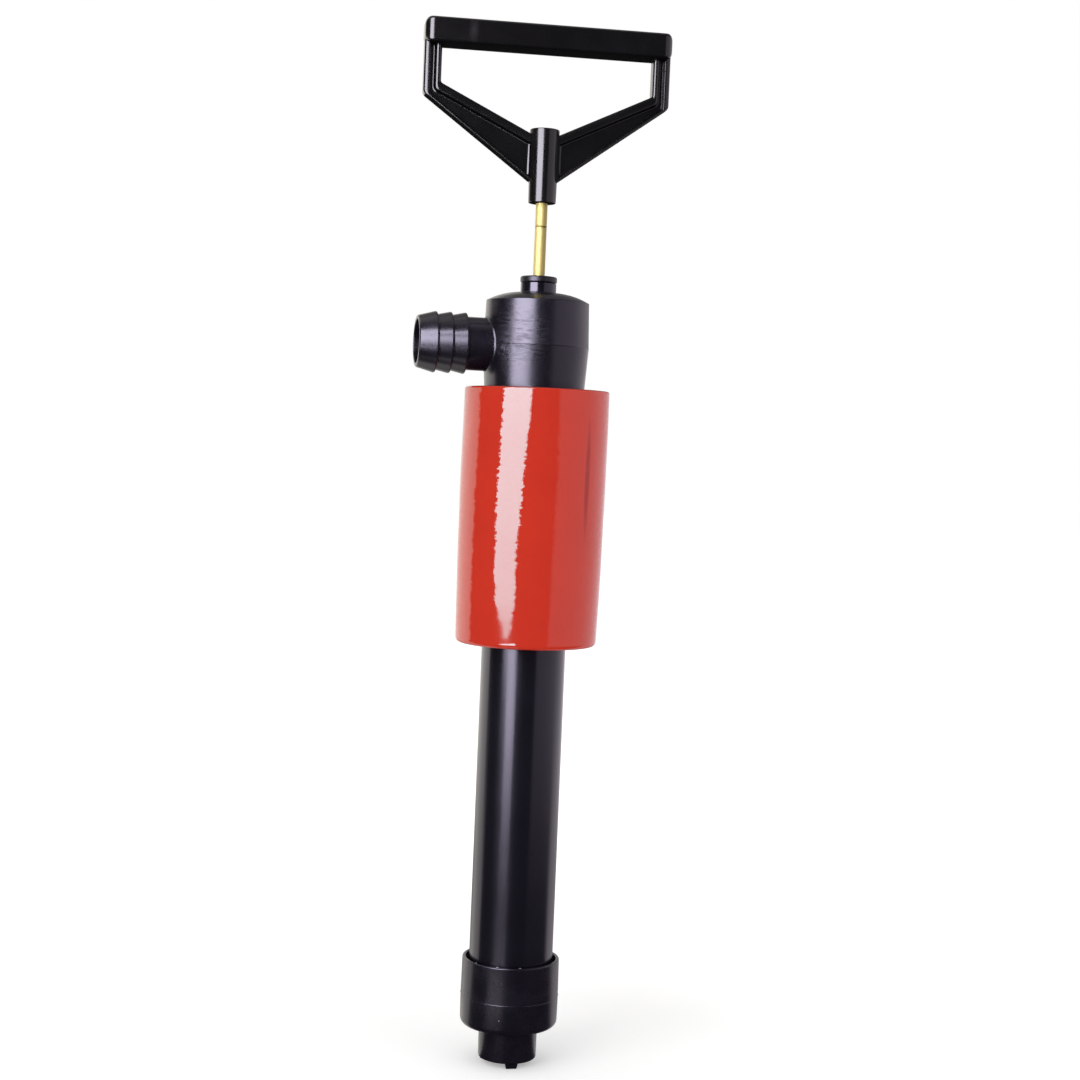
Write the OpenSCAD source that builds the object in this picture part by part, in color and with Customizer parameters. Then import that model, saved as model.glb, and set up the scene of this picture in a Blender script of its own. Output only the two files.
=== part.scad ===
// Hand bilge pump with a sliding piston, a brass rod, a D handle, a side hose barb and a foam float.
// The Z axis runs up the tube, the origin is on that axis in the plane of the stand-off lugs, and
// the hose barb points along -X. The handle is drawn out by rest_lift from its lowest place.

/* [Tube] */
// Outside diameter of the pump tube
tube_od = 40; // [37:0.5:44]
// Wall thickness of the pump tube
tube_wall = 2; // [1.6:0.1:2.6]
// Length of the pump tube
tube_len = 299; // [240:1:360]

/* [Foot cap] */
// Height of the stand-off lugs under the inlet spigot
lug_h = 2.5; // [1.5:0.1:4]
// Width of a stand-off lug at its root
lug_w = 6.6; // [4:0.1:8]
// Taper of a stand-off lug on each side
lug_taper = 0.8; // [0:0.1:1.5]
// Number of stand-off lugs
lug_count = 3; // [3:1:5]
// Outside diameter of the inlet spigot
spigot_od = 28; // [24:0.5:32]
// Wall thickness of the inlet spigot
spigot_wall = 3; // [2:0.1:4]
// Length of the inlet spigot below the foot cap
spigot_len = 16.1; // [10:0.1:30]
// Radius on the lower edge of the inlet spigot
spigot_round = 1.2; // [0.4:0.1:1.8]
// Wall of the foot cap round the tube
foot_wall = 3.3; // [2.2:0.1:5]
// Thickness of the floor of the foot cap
foot_floor = 2.9; // [2:0.1:5]
// Height of the chamber between the floor and the valve plate
plenum_h = 5.5; // [4:0.1:12]
// Width of the ledge that carries the valve plate inside the bore of the tube
ledge_lip = 1; // [0.5:0.1:2]
// Depth of the tube socket above the valve plate
foot_socket = 16; // [10:0.5:24]
// Height of the open rim above the socket
foot_rim = 5; // [2:0.1:10]
// Wall thickness of the open rim
rim_wall = 1.6; // [1:0.1:2]
// Radius on the lower edge of the foot cap
foot_round = 3; // [1:0.1:5]
// Height of the parting line above the underside of the foot cap
foot_parting = 14.6; // [8:0.1:22]
// Taper of the foot cap on each side of its parting line
foot_draft = 0.2; // [0:0.05:0.5]

/* [Foot valve] */
// Thickness of the valve plate
plate_t = 3; // [2:0.1:5]
// Diameter of a port in a valve plate
port_d = 6; // [4:0.1:6.4]
// Number of ports in a valve plate
port_count = 6; // [4:1:6]
// Solid width between the ports and the guide of a valve
port_web = 1.2; // [0.8:0.1:2]
// Thickness of a rubber valve disc
disc_t = 2.5; // [1.5:0.1:4]
// Overlap of a valve disc beyond its ports
disc_overlap = 1.4; // [0.8:0.1:2]
// Lift of the foot valve disc
foot_lift = 4; // [2:0.1:6]
// Diameter of the guide stem of the foot valve
stem_d = 6; // [4:0.1:7]
// Width of the heads of the guide stem beyond its shank
stem_head = 2.5; // [1.5:0.1:3]
// Thickness of a head of the guide stem
stem_head_t = 1.5; // [1:0.1:3]

/* [Head cap] */
// Wall of the head cap round the tube at the parting line
head_wall = 4.9; // [4:0.1:7]
// Wall of the head cap round the tube at the lower end of its skirt
skirt_wall = 2.6; // [2:0.1:3.6]
// Depth of the skirt below the end of the tube
skirt_depth = 21; // [16:0.5:28]
// Inward step that the end of the tube butts against
tube_stop = 1.2; // [0.6:0.1:1.5]
// Solid land between the tube socket and the side port
port_land = 0.9; // [0.5:0.1:6]
// Height of the top edge above the axis of the side port
head_above = 21.3; // [19:0.1:32]
// Taper of the head cap above its parting line
head_draft = 0.7; // [0:0.1:2]
// Radius on the top edge of the head cap
head_round = 0.5; // [0.2:0.1:1]
// Thickness of the roof at its edge
roof_t = 3.5; // [2.5:0.1:5]
// Rise of the domed roof
dome_rise = 4; // [2:0.1:7]

/* [Outlet barb] */
// Diameter over the barb crests
crest_d = 28.6; // [27:0.1:30]
// Diameter of the valleys between the crests
valley_d = 25.8; // [25:0.1:26.4]
// Diameter of the neck
neck_d = 25; // [24:0.1:25.8]
// Diameter of the tip of the barb
tip_d = 24.4; // [23.4:0.1:25]
// Diameter of the bore of the barb
outlet_d = 20.6; // [16:0.1:21]
// Length of the neck outside the head cap
neck_len = 9.1; // [5:0.1:20]
// Number of barb crests
barb_count = 3; // [2:1:4]
// Distance from crest to crest
barb_pitch = 7; // [5:0.1:10]
// Length of the flat on a crest
crest_land = 0.8; // [0.4:0.1:1.5]
// Length of the lead-in slope beyond the last crest
lead_len = 8.1; // [4:0.1:12]
// Chamfer on the tip of the barb
tip_chamfer = 0.5; // [0.2:0.1:0.8]
// Depth of the neck in the head cap below the parting line
neck_depth = 5.4; // [4:0.1:5.6]

/* [Gland] */
// Diameter of the gland boss
boss_d = 16.8; // [15:0.1:22]
// Height of the gland boss
boss_h = 4.7; // [3:0.1:10]
// Diameter of the flange of the gland nut
nut_d = 17.3; // [15:0.1:24]
// Thickness of the flange of the gland nut
nut_t = 2.7; // [1.5:0.1:5]
// Diameter of the shank of the gland nut
shank_d = 11; // [9:0.1:12]
// Radius on the top edge of the gland nut
nut_round = 0.8; // [0.3:0.1:1.2]
// Open groove between the boss and the flange of the gland nut
gland_groove = 0.3; // [0.1:0.1:0.8]
// Length of the rod guide in the roof
guide_len = 3; // [1.5:0.1:4]
// Thickness of the gland packing
packing_t = 3.4; // [2:0.1:4]
// Thickness of the gland washer
washer_t = 0.8; // [0.5:0.1:1.5]

/* [Float] */
// Thickness of the foam round the tube
foam_t = 14.1; // [10:0.1:20]
// Length of the float
float_len = 120.7; // [80:0.1:160]
// Depth of the recess for the head cap skirt
float_recess = 14.7; // [10:0.1:18]
// Swell of the float at the middle of its length
float_crown = 0.55; // [0:0.05:1.5]
// Radius on the outer edges of the float
float_round = 1.8; // [1:0.1:5]

/* [Rod and piston] */
// Diameter of the rod
rod_d = 5.5; // [4:0.1:6]
// Length of rod beyond the nut
rod_tail = 1.5; // [0.5:0.1:4]
// Width across the flats of the rod nut
rod_nut_w = 8; // [7.5:0.1:10]
// Height of the rod nut
rod_nut_h = 4; // [3:0.1:6]
// Diameter of the rod washer
rod_washer_d = 12; // [9:0.1:12.4]
// Thickness of the rod washer
rod_washer_t = 1; // [0.6:0.1:2]
// Height of the piston
piston_h = 12; // [10:0.1:18]
// Height of a land of the piston beside the seal groove
piston_land = 3; // [2:0.1:3.5]
// Depth of the pocket under the piston
pocket_depth = 5; // [3:0.1:7]
// Width of the pocket beyond the ports
pocket_rim = 0.4; // [0.2:0.1:0.8]
// Radial depth of the seal groove
groove_depth = 2.5; // [2:0.1:3]
// Thickness of the lips of the seal
lip_t = 0.9; // [0.6:0.1:1.1]
// Lift of the piston valve disc
piston_lift = 3; // [2:0.1:5]
// Diameter of the guide boss of the piston
guide_d = 11; // [9:0.1:12]
// Width of the piston retainer round the guide boss
retainer_w = 2.5; // [1.5:0.1:3.5]
// Thickness of the piston retainer
retainer_t = 1.8; // [1:0.1:3]
// Diameter of the rod clip
clip_d = 9; // [8:0.1:11]
// Thickness of the rod clip
clip_t = 0.8; // [0.5:0.1:1.2]
// Depth of the rod groove for the clip
clip_groove = 0.45; // [0.3:0.05:0.7]
// Chamfer on the ends of the rod
rod_chamfer = 0.4; // [0.2:0.1:1]
// Diameter of the stop sleeve
sleeve_d = 10; // [8:0.1:12]
// Thickness of the stop bumper
bumper_t = 3; // [2:0.1:5]
// Width of the stop bumper beyond the sleeve
bumper_w = 1.5; // [0.5:0.1:3]

/* [Handle] */
// Distance that the handle is drawn out from its lowest place
rest_lift = 34.1; // [0:0.1:120]
// Turn of the handle from the line of the outlet barb, seen from above
rest_turn = -2.8; // [-180:0.1:180]
// Height of the hub
hub_h = 34.4; // [30:0.1:45]
// Diameter of the hub at its top
hub_top_d = 14.1; // [13:0.1:18]
// Diameter of the hub at its lower end
hub_low_d = 13; // [11:0.1:16]
// Depth of the rod in the hub
rod_depth = 28; // [18:0.5:30]
// Length of the grip
grip_len = 116.8; // [100:0.1:140]
// Height of the grip
grip_h = 11.6; // [10:0.1:18]
// Depth of the grip from front to back
grip_depth = 16.5; // [15:0.1:24]
// Radius on the long edges of the grip
grip_round = 1.6; // [1:0.1:4.9]
// Radius on the ends of the grip
grip_end_round = 3; // [1:0.1:4]
// Height of the underside of the grip above the hub
grip_rise = 35.9; // [30:0.1:50]
// Set-back of an arm from the end of the grip
arm_inset = 0.2; // [0:0.1:4]
// Width of an upright arm
arm_w = 8.2; // [7.4:0.1:10]
// Depth of the arms from front to back
arm_depth = 8; // [7:0.1:12.6]
// Height of the outer elbow above the lower end of the hub
elbow_out = 47.4; // [42:0.1:56]
// Height of the inner elbow above the lower end of the hub
elbow_in = 52.6; // [47:0.1:62]
// Height where the lower edge of an arm meets the axis
arm_low = 5.1; // [2:0.1:10]
// Height where the upper edge of an arm meets the axis
arm_high = 28.6; // [22:0.1:29.5]
// Width of the flanges on an upright arm
flange_w = 3; // [1:0.1:3.2]
// Width of the flange along the lower edge of an arm
low_flange = 1.7; // [0.8:0.1:3]
// Width of the flange along the upper edge of an arm
high_flange = 4.4; // [1.5:0.1:5]
// Thickness of the web between the flanges
web_t = 3; // [2:0.1:6]
// Radius on the outer elbow of an arm
elbow_round = 3; // [1:0.1:5]
// Radius in the corners of the hollows between the flanges
pocket_round = 1; // [0.4:0.1:1.5]
// Height of the tenon on top of an arm
tenon_h = 7; // [4:0.1:8]
// Shoulder of the tenon all round
tenon_step = 1.2; // [0.6:0.1:1.8]

/* [Fits] */
// Radial gap of a glued or pressed joint
glue_gap = 0.1; // [0.05:0.05:0.2]
// Radial gap of a piece that is fixed on the rod
rod_grip = 0.03; // [0.01:0.01:0.08]
// Radial running gap of the rod in its guides
rod_run = 0.05; // [0.02:0.01:0.1]
// Radial running gap of the seal in the tube
seal_run = 0.08; // [0.02:0.01:0.1]
// Radial running gap of a valve disc on its guide
disc_run = 0.1; // [0.04:0.01:0.1]
// Radial gap of the piston in the tube
piston_run = 0.6; // [0.3:0.05:1]
// Gap at the end of a travel
stop_gap = 0.3; // [0.2:0.05:0.6]
// Gap between stacked pieces
stack_gap = 0.05; // [0.02:0.01:0.1]
// Gap between the rod and the foot valve with the handle pushed in
foot_gap = 1.5; // [0.5:0.1:5]
// Length of tube left above the piston with the handle drawn out
tube_margin = 1.5; // [0.5:0.1:20]
// Gap between the float recess and the head cap
recess_gap = 0.4; // [0.2:0.1:1]

/* [Hidden] */
$fn = 96;
arc_steps = 6;
crown_steps = 12;
// How far a cut runs past the face it opens
past = 1;
// Width of the mouth of the clip as a share of its bore
clip_mouth = 0.9;
black = "#1d1c20";
inner_black = "#2c2c30";
rubber = "#38383a";
pale = "#c9c6bd";
brass = "#cdb55c";
steel = "#b4b6ba";
foam = "#d8412b";

tube_r = tube_od / 2;
bore_r = tube_r - tube_wall;
socket_r = tube_r + glue_gap;
rod_r = rod_d / 2;
guide_r = rod_r + rod_run;

spigot_r = spigot_od / 2;
inlet_r = spigot_r - spigot_wall;
foot_r = socket_r + foot_wall;
ledge_r = bore_r - ledge_lip;

z_spigot = lug_h;
z_foot = z_spigot + spigot_len;
z_plenum = z_foot + foot_floor;
z_plate = z_plenum + plenum_h;
z_tube = z_plate + plate_t;
z_foot_socket = z_tube + foot_socket;
z_foot_rim = z_foot_socket + foot_rim;
z_tube_top = z_tube + tube_len;

stem_r = stem_d / 2;
stem_head_r = stem_r + stem_head;
plate_port_r = stem_head_r + port_web + port_d / 2;
foot_disc_r = plate_port_r + port_d / 2 + disc_overlap;
z_foot_disc = z_tube + stack_gap;
z_stem_head = z_foot_disc + disc_t + foot_lift + stop_gap;
z_stem_top = z_stem_head + stem_head_t;

neck_r = neck_d / 2;
crest_r = crest_d / 2;
outlet_r = outlet_d / 2;
head_r = socket_r + head_wall;
skirt_r = socket_r + skirt_wall;
head_top_r = head_r - head_draft;
head_bore_r = tube_r - tube_stop;
neck_end = head_r - neck_depth;
z_skirt = z_tube_top - skirt_depth;
z_port = z_tube_top + port_land + neck_r + glue_gap;
z_head_edge = z_port + head_above;
z_ceiling = z_head_edge - roof_t;
z_dome = z_head_edge + dome_rise;
z_boss = z_dome + boss_h;

first_crest = head_r + neck_len;
last_crest = first_crest + (barb_count - 1) * barb_pitch;
barb_tip = last_crest + crest_land + lead_len;

boss_r = boss_d / 2;
shank_r = shank_d / 2;
nut_r = nut_d / 2;
chamber_r = shank_r + glue_gap;
z_chamber = z_ceiling + guide_len;
z_packing_top = z_chamber + packing_t;
z_washer = z_packing_top + stack_gap;
z_shank = z_washer + washer_t + stack_gap;
z_nut = z_boss + gland_groove;
z_gland = z_nut + nut_t;

float_bore_r = socket_r;
float_r = float_bore_r + foam_t;
z_float_top = z_skirt + float_recess;
z_float = z_float_top - float_len;
skirt_slope = (head_r - skirt_r) / (z_port - z_skirt);
recess_r = skirt_r + skirt_slope * float_recess + recess_gap;

z_rod = z_stem_top + foot_gap + rest_lift;
z_rod_nut = z_rod + rod_tail;
z_rod_washer = z_rod_nut + rod_nut_h;
z_piston = z_rod_washer + rod_washer_t + stack_gap;
z_piston_top = z_piston + piston_h;
land_r = bore_r - piston_run;
groove_r = land_r - groove_depth;
piston_guide_r = guide_d / 2;
piston_port_r = piston_guide_r + port_web + port_d / 2;
piston_disc_r = piston_port_r + port_d / 2 + disc_overlap;
pocket_hub_r = piston_port_r - port_d / 2 - pocket_rim;
pocket_r = piston_port_r + port_d / 2 + pocket_rim;
z_piston_disc = z_piston_top + stack_gap;
z_retainer = z_piston_disc + disc_t + piston_lift + stop_gap;
z_guide_top = z_retainer + retainer_t;
z_clip = z_guide_top + stack_gap;
clip_groove_r = rod_r - clip_groove;
z_sleeve = z_clip + clip_t + stack_gap;
piston_rise = z_tube_top - tube_margin - z_piston_top;
z_bumper_top = z_ceiling - stop_gap - piston_rise;
z_bumper = z_bumper_top - bumper_t;
sleeve_len = z_bumper - stack_gap - z_sleeve;

z_hub = z_gland + stop_gap + rest_lift;
z_hub_top = z_hub + hub_h;
z_rod_top = z_hub + rod_depth;
z_grip = z_hub_top + grip_rise;
arm_out = grip_len / 2 - arm_inset;
arm_in = arm_out - arm_w;

// Points of an arc round a centre, from one angle to another
function arc(centre, r, from, to) =
    [for (i = [0:arc_steps]) let (a = from + (to - from) * i / arc_steps) centre + r * [cos(a), sin(a)]];

function unit(v) = v / norm(v);

// Left-hand normal of a direction
function left(v) = [-v[1], v[0]];

// Turn from one angle to another by the shorter way
function turn(from, to) = (to - from + 540) % 360 - 180;

// Arc that rounds corner b between its neighbours a and c
function corner(a, b, c, r) =
    let (
        u = unit(a - b),
        v = unit(c - b),
        half = acos(u * v) / 2,
        centre = b + unit(u + v) * r / sin(half),
        p = b + u * r / tan(half) - centre,
        q = b + v * r / tan(half) - centre,
        start = atan2(p[1], p[0])
    )
    arc(centre, r, start, start + turn(start, atan2(q[1], q[0])));

// Outline with each corner rounded by its own radius, or left sharp where that is 0
function rounded(points, radii) =
    let (n = len(points))
    [for (i = [0:n - 1])
        each radii[i] > 0
            ? corner(points[(i + n - 1) % n], points[i], points[(i + 1) % n], radii[i])
            : [points[i]]];

// Point where two lines cross, each given by a point and a direction
function crossing(p, u, q, v) =
    let (w = q - p)
    p + u * (w[0] * v[1] - w[1] * v[0]) / (u[0] * v[1] - u[1] * v[0]);

// Anticlockwise outline with each side moved inwards by its own width
function inset(points, widths) =
    let (
        n = len(points),
        dirs = [for (i = [0:n - 1]) unit(points[(i + 1) % n] - points[i])],
        starts = [for (i = [0:n - 1]) points[i] + left(dirs[i]) * widths[i]]
    )
    [for (i = [0:n - 1]) let (k = (i + n - 1) % n) crossing(starts[k], dirs[k], starts[i], dirs[i])];

// Corners of a rectangle centred on the origin
function rectangle(w, h) = [[-w, -h] / 2, [w, -h] / 2, [w, h] / 2, [-w, h] / 2];

// Solid of revolution from points of radius and height
module lathe(points) {
    rotate_extrude()
        polygon(points);
}

// Flat ring between two heights
module ring(r_out, r_in, z_low, z_high) {
    lathe([[r_in, z_low], [r_out, z_low], [r_out, z_high], [r_in, z_high]]);
}

// Ring of round ports through a plate
module ports(circle_r, z_low, z_high) {
    for (i = [0:port_count - 1])
        rotate(i * 360 / port_count)
            translate([circle_r, 0, z_low])
                cylinder(d = port_d, h = z_high - z_low);
}

// Plate standing in the XZ plane, centred on Y
module upright(points, depth) {
    rotate([90, 0, 0])
        linear_extrude(depth, center = true)
            polygon(points);
}

module pump_tube() {
    color(black)
        ring(tube_r, bore_r, z_tube, z_tube_top);
}

// Stand-off lug below the rim of the inlet spigot, wider at its root
module lug() {
    low_w = lug_w - 2 * lug_taper;
    overlap = 0.5;
    slope = lug_taper / lug_h;
    root_w = lug_w + 2 * slope * overlap;
    z_root = lug_h + overlap;
    outline = [[-low_w / 2, 0], [low_w / 2, 0], [root_w / 2, z_root], [-root_w / 2, z_root]];
    intersection() {
        ring(spigot_r, inlet_r, 0, z_root);
        translate([0, -spigot_r, 0])
            upright(outline, spigot_r);
    }
}

module foot_cap() {
    end_r = foot_r - foot_draft;
    relief_r = end_r - rim_wall;
    rim_round = rim_wall / 3;
    color(black) {
        lathe(concat(
            [[inlet_r, z_spigot]],
            arc([spigot_r - spigot_round, z_spigot + spigot_round], spigot_round, -90, 0),
            [[spigot_r, z_foot]],
            arc([end_r - foot_round, z_foot + foot_round], foot_round, -90, 0),
            [[foot_r, z_foot + foot_parting]],
            arc([end_r - rim_round, z_foot_rim - rim_round], rim_round, 0, 90),
            [
                [relief_r, z_foot_rim],
                [relief_r, z_foot_socket],
                [socket_r, z_foot_socket],
                [socket_r, z_plate],
                [ledge_r, z_plate],
                [ledge_r, z_plenum],
                [inlet_r, z_plenum],
            ]
        ));
        for (i = [0:lug_count - 1])
            rotate(i * 360 / lug_count)
                lug();
    }
}

module foot_valve_plate() {
    color(pale)
        difference() {
            ring(tube_r, stem_r + glue_gap, z_plate, z_tube);
            ports(plate_port_r, z_plate - past, z_tube + past);
        }
}

// Rivet with a head on each end, through the valve plate and the disc
module foot_valve_stem() {
    z_low = z_plate - stack_gap - stem_head_t;
    color(pale)
        lathe([
            [0, z_low],
            [stem_head_r, z_low],
            [stem_head_r, z_plate - stack_gap],
            [stem_r, z_plate - stack_gap],
            [stem_r, z_stem_head],
            [stem_head_r, z_stem_head],
            [stem_head_r, z_stem_top],
            [0, z_stem_top],
        ]);
}

module foot_valve_disc() {
    color(rubber)
        ring(foot_disc_r, stem_r + disc_run, z_foot_disc, z_foot_disc + disc_t);
}

// Points of the domed roof, from its edge to the gland boss
function dome_points(edge_r) =
    let (
        run = edge_r - boss_r,
        slope = 2 * atan(dome_rise / run),
        r = run / sin(slope)
    )
    arc([boss_r, z_dome - r], r, 90 - slope, 90);

module head_cap() {
    color(black)
        difference() {
            lathe(concat(
                [
                    [socket_r, z_skirt],
                    [skirt_r, z_skirt],
                    [head_r, z_port],
                ],
                arc([head_top_r - head_round, z_head_edge - head_round], head_round, 0, 60),
                dome_points(head_top_r - head_round),
                [
                    [boss_r, z_boss],
                    [chamber_r, z_boss],
                    [chamber_r, z_chamber],
                    [guide_r, z_chamber],
                    [guide_r, z_ceiling],
                    [head_bore_r, z_ceiling],
                    [head_bore_r, z_tube_top],
                    [socket_r, z_tube_top],
                ]
            ));
            translate([0, 0, z_port])
                rotate([0, -90, 0]) {
                    cylinder(r = outlet_r, h = head_r + past);
                    translate([0, 0, neck_end - stack_gap])
                        cylinder(r = neck_r + glue_gap, h = head_r);
                }
        }
}

// Crest of the barb and the slope that follows it, as points of radius and distance
function crest_points(i) =
    let (s = first_crest + i * barb_pitch)
    [
        [i == 0 ? neck_r : valley_d / 2, s],
        [crest_r, s],
        [crest_r, s + crest_land],
    ];

module outlet_barb() {
    tip_r = tip_d / 2;
    color(black)
        translate([0, 0, z_port])
            rotate([0, -90, 0])
                lathe(concat(
                    [[outlet_r, neck_end], [neck_r, neck_end]],
                    [for (i = [0:barb_count - 1]) each crest_points(i)],
                    [
                        [tip_r, barb_tip - tip_chamfer],
                        [tip_r - tip_chamfer, barb_tip],
                        [outlet_r, barb_tip],
                    ]
                ));
}

module gland_packing() {
    color(rubber)
        ring(shank_r, guide_r, z_chamber, z_packing_top);
}

module gland_washer() {
    color(steel)
        ring(shank_r, guide_r, z_washer, z_washer + washer_t);
}

module gland_nut() {
    color(black)
        lathe(concat(
            [
                [guide_r, z_shank],
                [shank_r, z_shank],
                [shank_r, z_nut],
                [nut_r, z_nut],
            ],
            arc([nut_r - nut_round, z_gland - nut_round], nut_round, 0, 90),
            [[guide_r, z_gland]]
        ));
}

// Foam sleeve, a little fuller at the middle, with a recess for the head cap skirt
module float_sleeve() {
    end_r = float_r - float_crown;
    z_low = z_float + float_round;
    z_high = z_float_top - float_round;
    color(foam)
        lathe(concat(
            [[float_bore_r, z_float]],
            arc([end_r - float_round, z_low], float_round, -90, 0),
            [for (i = [1:crown_steps - 1])
                let (t = 2 * i / crown_steps - 1)
                [float_r - float_crown * t * t, z_low + (z_high - z_low) * i / crown_steps]],
            arc([end_r - float_round, z_high], float_round, 0, 90),
            [
                [recess_r, z_float_top],
                [recess_r, z_skirt - stack_gap],
                [float_bore_r, z_skirt - stack_gap],
            ]
        ));
}

module piston_body() {
    color(pale)
        difference() {
            lathe([
                [guide_r, z_piston],
                [pocket_hub_r, z_piston],
                [pocket_hub_r, z_piston + pocket_depth],
                [pocket_r, z_piston + pocket_depth],
                [pocket_r, z_piston],
                [land_r, z_piston],
                [land_r, z_piston + piston_land],
                [groove_r, z_piston + piston_land],
                [groove_r, z_piston_top - piston_land],
                [land_r, z_piston_top - piston_land],
                [land_r, z_piston_top],
                [piston_guide_r, z_piston_top],
                [piston_guide_r, z_guide_top],
                [guide_r, z_guide_top],
            ]);
            ports(piston_port_r, z_piston + pocket_depth - past, z_piston_top + past);
        }
}

// Lip seal of U section, open upwards
module piston_cup() {
    z_low = z_piston + piston_land + stack_gap;
    z_high = z_piston_top - piston_land - stack_gap;
    seal_r = bore_r - seal_run;
    in_r = groove_r + glue_gap;
    z_notch = z_low + (z_high - z_low) / 3;
    color(rubber)
        lathe([
            [in_r, z_low],
            [land_r, z_low],
            [seal_r, z_notch],
            [seal_r, z_high],
            [seal_r - lip_t, z_high],
            [(in_r + seal_r) / 2, z_notch],
            [in_r + lip_t, z_high],
            [in_r, z_high],
        ]);
}

module piston_valve_disc() {
    color(rubber)
        ring(piston_disc_r, piston_guide_r + disc_run, z_piston_disc, z_piston_disc + disc_t);
}

module piston_retainer() {
    color(steel)
        ring(piston_guide_r + retainer_w, piston_guide_r + rod_grip, z_retainer, z_guide_top);
}

// Rod with chamfered ends and a groove for the clip
module piston_rod() {
    z_groove = z_clip - stack_gap;
    z_groove_top = z_clip + clip_t + stack_gap;
    color(brass)
        lathe([
            [0, z_rod],
            [rod_r - rod_chamfer, z_rod],
            [rod_r, z_rod + rod_chamfer],
            [rod_r, z_groove],
            [clip_groove_r, z_groove],
            [clip_groove_r, z_groove_top],
            [rod_r, z_groove_top],
            [rod_r, z_rod_top - rod_chamfer],
            [rod_r - rod_chamfer, z_rod_top],
            [0, z_rod_top],
        ]);
}

module rod_nut() {
    color(brass)
        translate([0, 0, z_rod_nut])
            difference() {
                cylinder(d = rod_nut_w / cos(30), h = rod_nut_h - stack_gap, $fn = 6);
                translate([0, 0, -past])
                    cylinder(r = rod_r + rod_grip, h = rod_nut_h + 2 * past);
            }
}

module rod_washer() {
    color(brass)
        ring(rod_washer_d / 2, rod_r + rod_grip, z_rod_washer, z_rod_washer + rod_washer_t);
}

// Open clip that springs into the groove of the rod
module rod_clip() {
    mouth = 2 * clip_groove_r * clip_mouth;
    color(steel)
        difference() {
            ring(clip_d / 2, clip_groove_r + rod_grip, z_clip, z_clip + clip_t);
            translate([0, -mouth / 2, z_clip - past])
                cube([clip_d, mouth, clip_t + 2 * past]);
        }
}

module stop_sleeve() {
    color(pale)
        ring(sleeve_d / 2, rod_r + rod_grip, z_sleeve, z_sleeve + sleeve_len);
}

module stop_bumper() {
    color(rubber)
        ring(sleeve_d / 2 + bumper_w, rod_r + rod_grip, z_bumper, z_bumper_top);
}

// Right arm: an upright and an oblique limb with flanges, and a tenon for the grip
module arm() {
    outline = [
        [0, z_hub + arm_low],
        [arm_out, z_hub + elbow_out],
        [arm_out, z_grip],
        [arm_in, z_grip],
        [arm_in, z_hub + elbow_in],
        [0, z_hub + arm_high],
    ];
    pocket = inset(outline, [low_flange, flange_w, -past, flange_w, high_flange, hub_top_d / 2]);
    pocket_radii = [pocket_round, elbow_round / 2, 0, 0, pocket_round, pocket_round];
    difference() {
        upright(rounded(outline, [0, elbow_round, 0, 0, elbow_round / 2, 0]), arm_depth);
        for (side = [-1, 1])
            translate([0, side * (arm_depth + web_t) / 2, 0])
                upright(rounded(pocket, pocket_radii), arm_depth);
    }
    translate([(arm_in + arm_out) / 2, 0, z_grip])
        tenon(0);
}

// Tenon on top of an arm, grown by a gap for its socket in the grip
module tenon(gap) {
    w = arm_w - 2 * tenon_step + 2 * gap;
    depth = arm_depth - 2 * tenon_step + 2 * gap;
    translate([-w / 2, -depth / 2, -past])
        cube([w, depth, tenon_h + gap + past]);
}

module handle_frame() {
    color(black)
        rotate([0, 0, rest_turn])
            difference() {
                union() {
                    arm();
                    mirror([1, 0, 0])
                        arm();
                    translate([0, 0, z_hub])
                        cylinder(d1 = hub_low_d, d2 = hub_top_d, h = hub_h);
                }
                translate([0, 0, z_hub - past])
                    cylinder(r = rod_r + rod_grip, h = rod_depth + past + stack_gap);
            }
}

// Bar with rounded long edges and ends, and a socket for the tenon of each arm
module handle_grip() {
    edges = [for (i = [0:3]) grip_round];
    ends = [for (i = [0:3]) grip_end_round];
    color(black)
        rotate([0, 0, rest_turn])
            difference() {
                translate([0, 0, z_grip + grip_h / 2])
                    intersection() {
                        rotate([90, 0, 90])
                            linear_extrude(grip_len, center = true)
                                polygon(rounded(rectangle(grip_depth, grip_h), edges));
                        upright(rounded(rectangle(grip_len, grip_h), ends), grip_depth);
                        linear_extrude(grip_h, center = true)
                            polygon(rounded(rectangle(grip_len, grip_depth), ends));
                    }
                for (side = [-1, 1])
                    translate([side * (arm_in + arm_out) / 2, 0, z_grip])
                        tenon(glue_gap);
            }
}

pump_tube();
head_cap();
outlet_barb();
gland_nut();
gland_washer();
gland_packing();
float_sleeve();
foot_cap();
foot_valve_plate();
foot_valve_stem();
foot_valve_disc();
piston_body();
piston_cup();
piston_valve_disc();
piston_retainer();
piston_rod();
rod_nut();
rod_washer();
rod_clip();
stop_sleeve();
stop_bumper();
handle_frame();
handle_grip();
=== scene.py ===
import math

import bmesh
import bpy
from mathutils import Matrix, Vector, noise


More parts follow.
